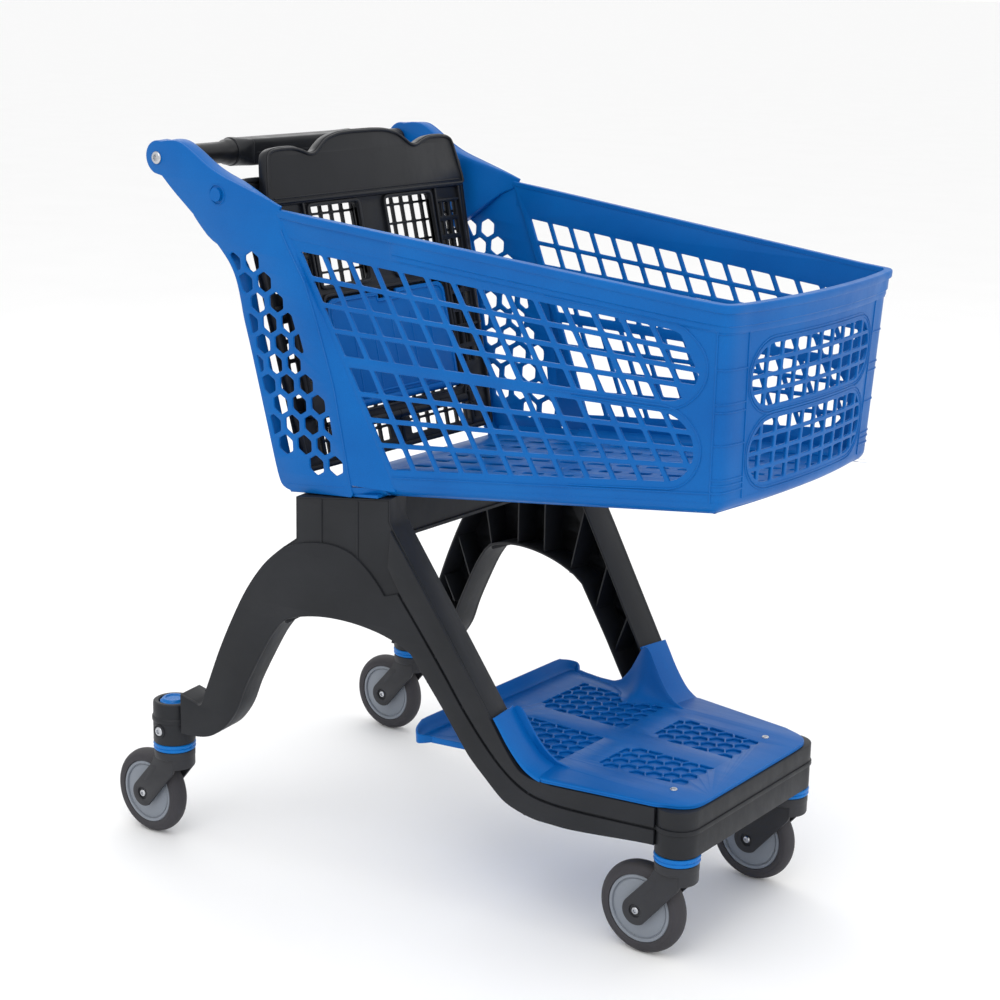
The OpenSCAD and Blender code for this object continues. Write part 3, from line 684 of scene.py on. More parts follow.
@dataclass
class Basket:
    """The blue basket: lattice walls, honeycomb cheeks with their arms, front wall and floor."""

    wall_t: float = 4.0
    bar: float = 7.0
    rail: float = 6.0
    bay: float = 37.6
    seam_in: float = 800.0
    seam: float = 824.0
    corner: float = 60.0
    half_front: float = 160.0
    bulge: float = 4.73e-4
    roll: float = 15.0
    cell: float = 14.0
    field_x: float = 223.0
    arm_t: float = 23.6

    @property
    def middle(self) -> float:
        """Unrolled position of the front wall's middle."""
        return self.seam + self.corner + self.half_front

    def mirror(self, t: float) -> float:
        """The same position on the other half of the unrolled wall."""
        return 2 * self.middle - t

    def front_half(self, z: float) -> float:
        """Half width of the front wall's flat part at height z."""
        return 147 + (z - 639) * 13 / 216

    def step_x(self, z: float) -> float:
        """The slanted line where the lattice wall begins."""
        return 213 + (899 - z) * 0.48

    def facet_x(self, z: float) -> float:
        """The slanted line where the cheek ends and the step facet begins."""
        return table(-z, [(-925, 196), (-885, 214), (-837, 243), (-784, 262), (-703, 286), (-589, 305),
                          (-545, 312)])

    def skin(self, t: float, z: float, w: float) -> Vector:
        """Maps the unrolled wall onto the basket.

        Args:
            t: position from the right step round the front to the left step; equals x on the right.
            z: height.
            w: offset outwards.

        Returns:
            The point in the working frame.
        """
        side = -1
        if t > self.middle:
            t, side = self.mirror(t), 1
        wall = Trolley.wall(side)
        x_seam = 824 + (z - 641) * 8 / 218
        if t <= self.seam:
            x = t if t < self.seam_in else mix(self.seam_in, x_seam,
                                               (t - self.seam_in) / (self.seam - self.seam_in))
            return wall(x, z, w)
        start = wall(x_seam, z, w)
        along = (wall(x_seam, z, w) - wall(x_seam - 10, z, w)).normalized()
        y_f = self.front_half(z)

        def front(y: float) -> Vector:
            """Point of the front wall at half width y."""
            slope = 2 * self.bulge * y
            x = 860 - (864 - z) * 0.045 - self.bulge * y * y
            n = Vector((1, side * slope, 0)).normalized()
            return Vector((x, side * y, z)) + n * w

        if t >= self.seam + self.corner:
            return front((self.middle - t) / self.half_front * y_f)
        end = front(y_f)
        back = (front(y_f) - front(y_f - 5)).normalized()
        u = (t - self.seam) / self.corner
        reach = (end - start).length * 0.42
        a, b = start + along * reach * 0.75, end + back * reach * 1.1
        return start * (1 - u) ** 3 + a * 3 * u * (1 - u) ** 2 + b * 3 * u * u * (1 - u) + end * u ** 3

    def rim_at(self, t: float) -> float:
        """Height of the rim at an unrolled position."""
        if t > self.middle:
            t = self.mirror(t)
        if t < self.seam:
            return Trolley.rim_z(t)
        return mix(Trolley.rim_z(self.seam), 864.0, min(1.0, (t - self.seam) / self.corner))

    def foot_at(self, t: float) -> float:
        """Height where the wall turns into the floor."""
        if t > self.middle:
            t = self.mirror(t)
        x = t if t < self.seam else mix(self.seam, 842, min(1.0, (t - self.seam) / self.corner))
        return Trolley.floor_z(x) + self.roll

    def bar_x(self, k: int, z: float) -> float:
        """Rear edge of slanted bar k at height z."""
        return self.step_x(z) + 4 + k * self.bay - 0.004 * k * (z - 875)

    def side_fields(self) -> list[tuple[float, float, float, float, float]]:
        """Top and bottom heights of the two lattice fields at x 223 and near the front, and their ends."""
        return [(875, 830, 743, 743, 762), (729, 729, 584, 644, 758)]

    def side_cells(self) -> list[list[Point]]:
        """Openings of one side wall, in unrolled coordinates."""
        cells = []
        for top0, top1, low0, low1, end in self.side_fields():
            def line(x: float, r: float) -> float:
                """Height of rail r at x."""
                share = (x - self.field_x) / (end - self.field_x)
                return mix(mix(top0, top1, share), mix(low0, low1, share), r)
            mid, rad = (top1 + low1) / 2, (top1 - low1) / 2
            window = [(self.step_x(low0) + 10, low0), (end, low1)]
            window += arc(end, mid, rad, -75, 15, 11)
            window += [(end, top1), (self.step_x(top0) + 10, top0)]
            for k in range(16):
                for r in range(4):
                    def corner(bar_edge: float, kk: int, share: float, dz: float) -> Point:
                        """Where a bar's edge crosses a rail's edge."""
                        z = mix(top0, low0, share)
                        for _ in range(3):
                            x = self.bar_x(kk, z) + bar_edge
                            z = line(x, share) + dz
                        return x, z
                    half = self.rail / 2
                    upper, lower = (0 if r == 0 else -half), (0 if r == 3 else half)
                    quad = [corner(self.bar if k else -20, k, (r + 1) / 4, lower),
                            corner(0, k + 1, (r + 1) / 4, lower),
                            corner(0, k + 1, r / 4, upper), corner(self.bar if k else -20, k, r / 4, upper)]
                    piece = clip(quad, window)
                    if len(piece) > 2 and abs(area(piece)) > 70:
                        cells.append(rounded(piece, 2.6))
        return cells

    def front_fields(self) -> list[tuple[float, float, float]]:
        """Bottom, top and half width of the two window fields of the front wall."""
        return [(735, 811, 147), (640, 718, 141)]

    def to_t(self, y: float, z: float) -> float:
        """Unrolled position of the front wall's half width y (negative on the right)."""
        return self.middle + y * self.half_front / self.front_half(z)

    def front_cells(self) -> list[list[Point]]:
        """Openings of the front wall, in unrolled coordinates."""
        cells = []
        for z0, z1, half in self.front_fields():
            window = stadium(-half, half, z0, z1, 10)
            for k in range(-5, 5):
                for r in range(4):
                    a, b = k * 30 + 2.8, (k + 1) * 30 - 2.8
                    c, d = mix(z0, z1, r / 4), mix(z0, z1, (r + 1) / 4)
                    c, d = c + (2.4 if r else 0), d - (2.4 if r < 3 else 0)
                    piece = clip([(a, c), (b, c), (b, d), (a, d)], window)
                    if len(piece) > 2 and abs(area(piece)) > 45:
                        cells.append([(self.to_t(y, z), z) for y, z in rounded(piece, 2.6)])
        return cells

    def walls(self, piece: Moulding) -> None:
        """Adds the lattice walls, the corners and the front as one sheet."""
        stops = [self.seam_in, *(self.seam + self.corner * k / 12 for k in range(13)),
                 *(self.seam + self.corner + self.half_front * k / 9 for k in range(1, 10))]
        stops += [self.mirror(t) for t in stops[:-1]]
        ts = [280 + 40 * k for k in range(13)]
        half = [(self.step_x(self.foot_at(350)), self.foot_at(350)),
                *((t, self.foot_at(t)) for t in [*ts[3:], *stops[:22]])]
        low = half + [(self.mirror(t), z) for t, z in reversed(half)]
        rim = [(196.0, self.rim_at(196) - 1), *((t, self.rim_at(t) - 1) for t in [*ts, *stops[:22]])]
        top = rim + [(self.mirror(t), z) for t, z in reversed(rim)]
        outline = distinct(low + top[::-1], 0.05)
        cells = self.side_cells()
        cells += [[(self.mirror(t), z) for t, z in c] for c in cells]
        cells += self.front_cells()
        piece.sheet(outline, cells, -self.wall_t, 0, self.skin, edge=0.9, cuts=stops)

    def section(self, stops: Sequence[float], drop: Callable[[float], float]) -> tuple[Path, Path, Path]:
        """Points, outward and upward directions along the wall.

        Args:
            stops: unrolled positions.
            drop: height at each position.

        Returns:
            Points, outward directions and upward directions.
        """
        pts, outs, ups = [], [], []
        for t in stops:
            z = drop(t)
            p = self.skin(t, z, 0)
            e = 1.0 if t + 1 < self.mirror(190) else -1.0
            along = (self.skin(t + e, drop(t + e), 0) - p) * e
            up = self.skin(t, z + 1, 0) - p
            out = along.cross(up).normalized()
            pts.append(p)
            outs.append(out)
            ups.append(up.normalized())
        return pts, outs, ups

    def stops(self, start: float = 200.0) -> list[float]:
        """Unrolled positions for anything that runs round the basket."""
        half = [start, *(t for t in range(220, 800, 20) if t > start), *(368, 374, 377, 380, 383, 388),
                *(self.seam_in + 4 * k for k in range(6)),
                *(self.seam + self.corner * k / 16 for k in range(17)),
                *(self.seam + self.corner + 10 * k for k in range(1, 17))]
        half = sorted(set(half))
        return half + [self.mirror(t) for t in reversed(half[:-1])]

    def rim(self, piece: Moulding) -> None:
        """Adds the rolled rim, the raised band under it and the bead lines of the band."""
        stops = self.stops(198)
        pts, outs, ups = self.section(stops, self.rim_at)

        def profile(i: int) -> list[Point]:
            """Rim outline at stop i; the band steps out ahead of the joggle."""
            x = min(stops[i], self.mirror(stops[i]))
            j = 2.4 * ease(x, 374, 388) - 1.2 * ease(x, 800, 830)
            f = 0.3 + 0.7 * ease(x, 200, 250)
            return [(-4.6, -0.8), (-3.8, 0), (5.2 * f, 0), (6.4 * f, -0.9), (6.8 * f, -2.4),
                    (6.8 * f, -8.4),
                    (6.1 * f, -9.8), ((2.6 + j) * f, -10.8), ((2.2 + j) * f, -12), ((2.2 + j) * f, -25),
                    (1.2 + j * 0.6, -26.8), (1.2 + j * 0.6, -32), (0.3, -35), (-1.5, -35), (-1.5, -7),
                    (-4.6, -6)]
        piece.sweep(pts, profile, outs, ups)
        # Level line above the foot of each side wall, round the corner to the front's seam.
        right = [t for t in self.stops(376.0) if t <= self.seam + self.corner]
        for line in (right, [self.mirror(t) for t in right]):
            piece.tube([self.skin(t, self.foot_at(t) + 12.5, 0.2) for t in line], 1.3, 6)

    def beads(self, piece: Moulding) -> None:
        """Adds the beads round the window fields and the lines of the corners."""
        for top0, top1, low0, low1, end in self.side_fields():
            mid, rad = (top1 + low1) / 2, (top1 - low1) / 2 + 9
            def share(x: float) -> float:
                """How far along the field x lies."""
                return (x - self.field_x) / (end - self.field_x)
            rail = [(x, mix(top0, top1, share(x)) + 9) for x in range(600, int(end), 40)]
            bow = arc(end, mid, rad, 90, -7.5, 25)
            foot = [(x, mix(low0, low1, share(x)) - 9) for x in range(int(end) - 6, 600, -40)]
            for mirrored in (False, True):
                piece.tube([self.skin(self.mirror(x) if mirrored else x, z, 0.1) for x,
                            z in rail + bow + foot],
                           1.3, 6)
        for z0, z1, half in self.front_fields():
            for extra in (5.5, 9.0):
                ring = stadium(-half - extra * 0.9, half + extra * 0.9, z0 - extra, z1 + extra, 12)
                dense = []
                for a, b in zip(ring, [*ring[1:], ring[0]]):
                    n = max(1, int(math.dist(a, b) / 14))
                    dense += [(mix(a[0], b[0], k / n), mix(a[1], b[1], k / n)) for k in range(n)]
                piece.tube([self.skin(self.to_t(y, z), z, 0.1) for y, z in dense], 1.15, 6, loop=True)
        # Seams beside the rounded corners and the level beads across them.
        for mirrored in (False, True):
            def at(t: float, z: float) -> Vector:
                """Point of this corner."""
                return self.skin(self.mirror(t) if mirrored else t, z, 0.15)
            for t in (self.seam - 1, self.seam + self.corner - 2):
                piece.tube([at(t, z) for z in range(int(self.foot_at(t)), 858, 8)], 1.2, 6)
            for z in (856, 839, 831, 788, 747, 737, 697, 655, 648):
                piece.tube([at(self.seam - 1 + (self.corner - 1) * k / 16, z) for k in range(17)], 1.15, 6)

    def foot(self, piece: Moulding) -> None:
        """Adds the rounded foot between the walls and the floor."""
        stops = self.stops(352)
        pts, outs, ups = self.section(stops, lambda t: self.foot_at(t) + 0.5)
        t, r = self.wall_t, self.roll

        def profile(_: int) -> list[Point]:
            """Quarter-round strip, as thick as the wall."""
            return arc(-r, 0, r, 0, -11.25, 9) + arc(-r, 0, r - t, 0, -11.25, 9)[::-1]
        piece.sweep(pts, profile, outs, ups)

    def floor(self, piece: Moulding) -> None:
        """Adds the slotted floor plate and its ribs."""
        def place(x: float, y: float, w: float) -> Vector:
            """Point of the floor."""
            return Vector((x - w * Trolley.FLOOR_K, y, Trolley.floor_z(x) + w))
        stops = self.stops(352)
        pts, outs, _ = self.section(stops, self.foot_at)
        edge = [(p.x - o.x * (self.roll - 0.5), p.y - o.y * (self.roll - 0.5)) for p, o in zip(pts, outs)]
        outline = [(197, 236), (197, -236), (350, -236), *edge, (350, 236)]
        slots = [rounded(box_outline(x, x + 34, y - 6, y + 6), 5.5)
                 for x in range(250, 800, 48) for y in range(-168, 169, 42) if abs(y) < 150 or x < 640]
        piece.sheet(outline, slots, 0, self.wall_t, place, edge=0.8)
        for y in (-120, 0, 120):
            piece.sheet(box_outline(362, 800, -9, 1), [], y - 2, y + 2,
                        lambda x, z, w: Vector((x, w, Trolley.floor_z(x) + z)), edge=0.6)

    # ----- cheeks and arms -----

    def cheek_rear(self) -> list[Point]:
        """Rear edge of the cheek and arm, from the foot up to the arm's tip."""
        return smooth([(205, 547), (187, 552), (178, 570), (165, 627), (151, 690), (140, 739), (131, 776),
                       (127, 800), (121, 826), (112, 845), (99, 861), (78, 882), (57, 900), (35, 918),
                       (12, 937), (-6, 954)], 3)

    def arm_top(self) -> list[Point]:
        """Top edge of the arm, from the tip forward to the rim."""
        return smooth([(-4, 1000.3), (12, 1002.6), (30, 1001.6), (50, 992), (77, 975), (103, 963),
                       (138, 952),
                       (177, 940), (207, 930)], 3)

    def rear_x(self, z: float) -> float:
        """Rear edge at height z."""
        return table(z, [(552, 184), (627, 165), (739, 140), (800, 127), (845, 112), (861, 99), (900, 57)])

    def comb(self) -> list[list[Point]]:
        """Hexagon openings of a cheek, which follow its leaning rear edge."""
        cells = []
        for i in range(11):
            for j in range(-1, 4):
                x = 151.5 + 3.05 * i + 33.5 * j + 16.8 * (i % 2)
                z = 833.3 - 27.5 * i + 0.13 * x
                plain = table(z, [(600, 8), (650, 18), (700, 26), (750, 38), (804, 48), (828, 56),
                                  (860, 62)])
                if not (self.rear_x(z) + 2 < x < self.facet_x(z) - plain + 12) or z < 588:
                    continue
                hexagon = [(x + self.cell * math.sin(a), z + self.cell * math.cos(a))
                           for a in (math.pi * k / 3 for k in range(6))]
                left, right = self.rear_x(z) + 9, self.facet_x(z) - plain
                lean = (self.rear_x(z + 20) - self.rear_x(z - 20)) / 40
                tilt = (self.facet_x(z + 20) - self.facet_x(z - 20)) / 40
                window = [(left - 20 * lean, z - 20), (right - 20 * tilt, z - 20),
                          (right + 20 * tilt, z + 20),
                          (left + 20 * lean, z + 20)]
                piece = clip(hexagon, window)
                if len(piece) > 2 and abs(area(piece)) > 150:
                    cells.append(rounded(piece, 2.2, 2))
        return cells

    def cheeks(self, piece: Moulding) -> None:
        """Adds both cheeks, their arms, rear flanges and step facets."""
        rear, top = self.cheek_rear(), self.arm_top()
        cx, cz, r = -11.0, 978.0, 23.0
        tip = arc(cx, cz, r, -112, -12, 14)
        fore = [(self.facet_x(z) + 0.6, z)
                for z in (915, 885, 861, 837, 810, 784, 745, 703, 665, 627, 589, 560)]
        outline = [*rear, *tip, *top, *fore, (307, 556)]
        tail = [(40, 912), (70, 880), (96, 866), (118, 862), (150, 884), (176, 905), (196, 914)]
        arm = [(x, z) for x, z in rear if z > 911] + tip + top + [(203, 921)] + smooth(tail, 3)[::-1]
        for side in (-1, 1):
            place = Trolley.cheek(side)
            piece.sheet(outline, self.comb(), -self.wall_t, 0, place, edge=1.6)
            piece.sheet(grown(arm, -0.3), [], -self.arm_t, -1.4,
                        lambda x, z, w: place(x, z, w * (1 - 0.78 * ease(x, 110, 204))), edge=3.0,
                        cuts=[110 + 9.5 * k for k in range(11)])
            # Rear flange, turned inwards along the cheek's edge.
            flange = [(x, z) for x, z in rear if z < 914]
            back = [(x + 4.0, z + 1.0) for x, z in reversed(flange)]
            piece.sheet(flange + back, [], -29, -1.2, place, edge=1.2)
            self.ring_mark(piece, place)
            self.facet(piece, side)

    def ring_mark(self, piece: Moulding, place: Place) -> None:
        """Adds the low ring round the gate's hinge pin."""
        piece.tube([place(x, z, 0.2) for x, z in circle(*Trolley.HINGE, 13, 32)], 1.0, 6, loop=True)

    def facet(self, piece: Moulding, side: int) -> None:
        """Adds the slanted facet that steps from the cheek in to the lattice wall."""
        cheek, wall = Trolley.cheek(side), Trolley.wall(side)
        rings = []
        for k in range(25):
            z = mix(921, 573, k / 24)
            left = cheek(self.facet_x(z) - 0.4, z, 0)
            right = wall(self.step_x(z) + 3, z - 2, 0)
            left_in = cheek(self.facet_x(z) - 0.4, z, -self.wall_t)
            right_in = wall(self.step_x(z) + 3, z - 2, -self.wall_t)
            swell = (left + right) / 2 + Vector((0, side * 1.2, 0))
            rings.append([left, swell, right, right_in, (left_in + right_in) / 2, left_in])
        piece.loft(rings)
        edge = [cheek(self.facet_x(z), z, 0.0) for z in (mix(900, 574, k / 30) for k in range(31))]
        piece.tube(edge, 1.1, 6)

    def skirt(self, piece: Moulding) -> None:
        """Adds the plain lower band and the rounded foot under the cheeks."""
        for side in (-1, 1):
            place = Trolley.cheek(side)
            rings = []
            for k in range(15):
                x = mix(196, 356, k / 14)
                z = Trolley.floor_z(x)
                inward = ease(x, 296, 372) * 15.5
                pts = [(13, 0.2 - inward), (6, -1.0 - inward), (1.5, -4.5 - inward), (0, -10 - inward),
                       (0, -34), (4, -34), (4, -12 - inward), (6, -8 - inward), (13, -5 - inward)]
                rings.append([place(x, z + dz, w) for dz, w in pts])
            piece.loft(rings)

    def make(self) -> bpy.types.Object:
        """Builds the basket."""
        piece = Moulding("basket")
        self.walls(piece)
        self.rim(piece)
        self.beads(piece)
        self.foot(piece)
        self.floor(piece)
        self.cheeks(piece)
        self.skirt(piece)
        return piece.build(BLUE_PP, "cart", (
            "basket_side_right", "basket_side_left", "basket_cheek_right", "basket_cheek_left",
                                             "basket_front",
            "basket_floor"))


# ---------- handle ----------

@dataclass
class Handle:
    """Handle tube between the arms with its flat-topped sleeve, and the arm screws."""

    tube_r: float = 15.0
    reach: float = 241.0
    sleeve_half: float = 120.0

    def tube(self) -> bpy.types.Object:
        """Builds the tube, which flares a little where it meets the arms and the sleeve."""
        piece = Moulding("handle_grip")
        r, end = self.tube_r, self.reach
        rows = [(end, r - 1.2), (end - 1.2, r), (end - 5, r), (end - 6, r - 0.7),
                (end - 8, r - 0.7), (end - 9, r), (190, r - 0.4), (160, r - 0.2), (141, r),
                (137, r + 2.4), (130, r + 3.4), (118, r + 3.4)]
        rows = rows + [(-y, q) for y, q in reversed(rows)]
        x, z = Trolley.HANDLE
        piece.loft([[Vector((u, y, v)) for u, v in circle(x, z, q, 40)] for y, q in rows])
        return piece.build(GRIP, "cart", ("handle_tube",))

    def sleeve(self) -> bpy.types.Object:
        """Builds the sleeve: a rounded box whose ends draw in to round collars."""
        piece = Moulding("handle_sleeve_shell")
        x, z = Trolley.HANDLE
        n, end = 48, self.sleeve_half
        rings = []
        rows = [(end + 8, 0.0, 0.94), (end + 6.5, 0.0, 1.0), (end + 1, 0.05, 1.0), (end - 6, 0.35, 1.0),
                (end - 13, 0.75, 1.0), (end - 20, 1.0, 1.0), (end - 21.5, 1.0, 0.965), (end - 23, 1.0, 1.0),
                (60, 1.0, 1.0), (20, 1.0, 1.0)]
        rows += [(-y, s, q) for y, s, q in reversed(rows)]
        for y, share, scale in rows:
            ring = []
            for k in range(n):
                a = math.tau * k / n
                c, s = math.cos(a), math.sin(a)
                power = mix(1.0, 0.28, share)
                half_x, up, down = mix(20.8, 22, share), mix(20.0, 17.6, share), mix(20.0, 20, share)
                bx = half_x * math.copysign(abs(c) ** power, c)
                bz = (up if s > 0 else down) * math.copysign(abs(s) ** power, s)
                ring.append(Vector((x + bx * scale, y, z + bz * scale)))
            rings.append(ring)
        piece.loft(rings)
        # Parting line along the front and back.
        for sx in (-1, 1):
            piece.tube([(x + sx * 22.0, y, z - 1) for y in (-96, -40, 0, 40, 96)], 0.55, 6)
        return piece.build(SEAT_PP, "cart", ("handle_sleeve",))

    def screws(self) -> bpy.types.Object:
        """Builds the arm screws: domed washer heads with a hexagon socket."""
        piece = Moulding("arm_screws")
        x, z = Trolley.HANDLE
        out = Trolley.CHEEK_Y + (z - Trolley.RIM_Z) * math.tan(Trolley.LEAN)
        for side in (-1, 1):
            Fastener(8.6, 3.6).head(piece, Vector((x, side * (out - 0.4), z)), Vector((0, side, 0)))
            piece.lathe([(0.01, -40), (4, -40), (4, 0.2), (0.01, 0.2)], Vector((x, side * (out - 0.4), z)),
                        Vector((0, side, 0)), 20)
        return piece.build(STEEL, "cart", ("handle_screws",))

    def make(self) -> list[bpy.types.Object]:
        """Builds every piece of the handle."""
        return [self.tube(), self.sleeve(), self.screws()]


@dataclass
class Fastener:
    """A domed screw head with a hexagon socket."""

    r: float
    height: float

    def head(self, piece: Moulding, seat: Vector, out: Vector) -> None:
        """Adds a head standing on a seat.

        Args:
            piece: the moulding it joins.
            seat: middle of the head's underside.
            out: direction it faces.
        """
        r, h = self.r, self.height
        out = out.normalized()
        e1 = out.orthogonal().normalized()
        e2 = out.cross(e1)
        n = 36

        def ring(radius: float, up: float, hexagon: float = 0.0) -> Path:
            """Ring of the head; hexagon pulls it towards a six-sided socket."""
            pts = []
            for k in range(n):
                a = math.tau * k / n
                flat = 1 / math.cos((a + math.pi / 6) % (math.pi / 3) - math.pi / 6)
                q = radius * mix(1.0, flat, hexagon)
                pts.append(seat + out * up + (e1 * math.cos(a) + e2 * math.sin(a)) * q)
            return pts
        piece.loft([ring(r * 0.2, 0), ring(r * 0.98, 0), ring(r, h * 0.15), ring(r, h * 0.38),
                    ring(r * 0.93, h * 0.66),
                    ring(r * 0.78, h * 0.9), ring(r * 0.58, h), ring(r * 0.46, h * 0.98, 1),
                    ring(r * 0.42, h * 0.8, 1),
                    ring(r * 0.40, h * 0.3, 1), ring(r * 0.1, h * 0.25)])


# ---------- rear gate and child seat ----------

@dataclass
class Gate:
    """Black grid panel hung from the arms."""

    a0: float = 8.5
    a1: float = 22.0
    top: float = 16.0
    drop: float = 385.0

    def half(self, z: float) -> float:
        """Half width at height z along the gate."""
        return 234 + z * 24 / self.drop

    def cells(self) -> list[list[Point]]:
        """Openings of the panel."""
        cells = []

        def field(y: float, z: float, nx: int, nz: int, px: float, pz: float, w: float, h: float) -> None:
            """Adds a field of openings centred on (y, z)."""
            for i in range(nx):
                for j in range(nz):
                    cy, cz = y + (i - (nx - 1) / 2) * px, z + (j - (nz - 1) / 2) * pz
                    cells.append(rounded(box_outline(cy - w / 2, cy + w / 2, cz - h / 2, cz + h / 2), 2.2,
                                         2))
        for s in (-1, 1):
            field(s * 88, -82, 6, 5, 22, 27, 18.4, 23.6)
            field(s * 98, -338, 7, 3, 22, 22, 18.2, 18.2)
            field(s * 189, -75, 2, 5, 20, 27, 15.5, 23.4)
            field(s * 184, -233, 2, 4, 21, 27, 15, 21)
            cells.append(rounded(box_outline(s * 84 - 46, s * 84 + 46, -292, -174), 12, 4))
        return cells

    def make(self) -> list[bpy.types.Object]:
        """Builds the gate panel with its ribs, knuckles and hinge lugs."""
        piece = Moulding("gate_panel")
        place = Trolley.gate()
        outline = rounded([(-234, self.top), (234, self.top), (209, -self.drop), (-209, -self.drop)], 9, 5)
        piece.sheet(outline, self.cells(), self.a0 + 4, self.a1 - 3.5, place, edge=1.0)
        # Deep ribs on the rear face: border, posts and rails.
        piece.border(outline, 7, self.a0, self.a1, place, 1.6)
        for s in (-1, 1):
            for y in (4, 166):
                piece.sheet(box_outline(s * y - 3, s * y + 3, -378, 10), [], self.a0, self.a1 - 2, place,
                            edge=1.2)
            leg = rounded(box_outline(s * 84 - 51, s * 84 + 51, -297, -169), 15, 4)
            piece.border(leg, 5, self.a0, self.a1 - 1, place, 1.2)
        for z in (-8, -160, -304):
            piece.sheet(box_outline(-self.half(z) + 4, self.half(z) - 4, z - 2.5, z + 2.5), [], self.a0,
                        self.a1 - 2,
                        place, edge=1.2)
        for s in (-1, 1):
            self.knuckle(piece, s)
            lug = [(22 - 3, -343), (38, -343), (39, -340), (39, -330), (38, -327), (19, -327)]
            piece.sheet(lug, [], 0, 11, lambda a, z, w: place(s * (142 + w), z, a), edge=1.4)
        return [piece.build(SEAT_PP, "gate", ("gate_frame", "gate_lugs"))]

    def knuckle(self, piece: Moulding, s: int) -> None:
        """Adds one hinge knuckle with its gussets."""
        place = Trolley.gate()
        axis = Vector((0, 1, 0))
        centre = place(0, 0, 0)
        rows = [(5.1, -231.5), (9.0, -231.5), (10, -230.3), (10, -222), (8.6, -221), (8.6, -219),
                (10, -218),
                (10, -204), (8.6, -203), (8.6, -201), (10, -200), (10, -192.2), (9.0, -191), (5.1, -191)]
        piece.lathe([(r, -s * h) for r, h in rows], centre, axis, 36)
        for y in (194, 211, 228):
            web = [(-7, 7), (self.a0 + 2, 13), (self.a0 + 2, -26), (2, -9), (-6, -6)]
            piece.sheet(web, [], y - 2.2, y + 2.2, lambda a, z, w: place(s * w, z, a), edge=0.9)


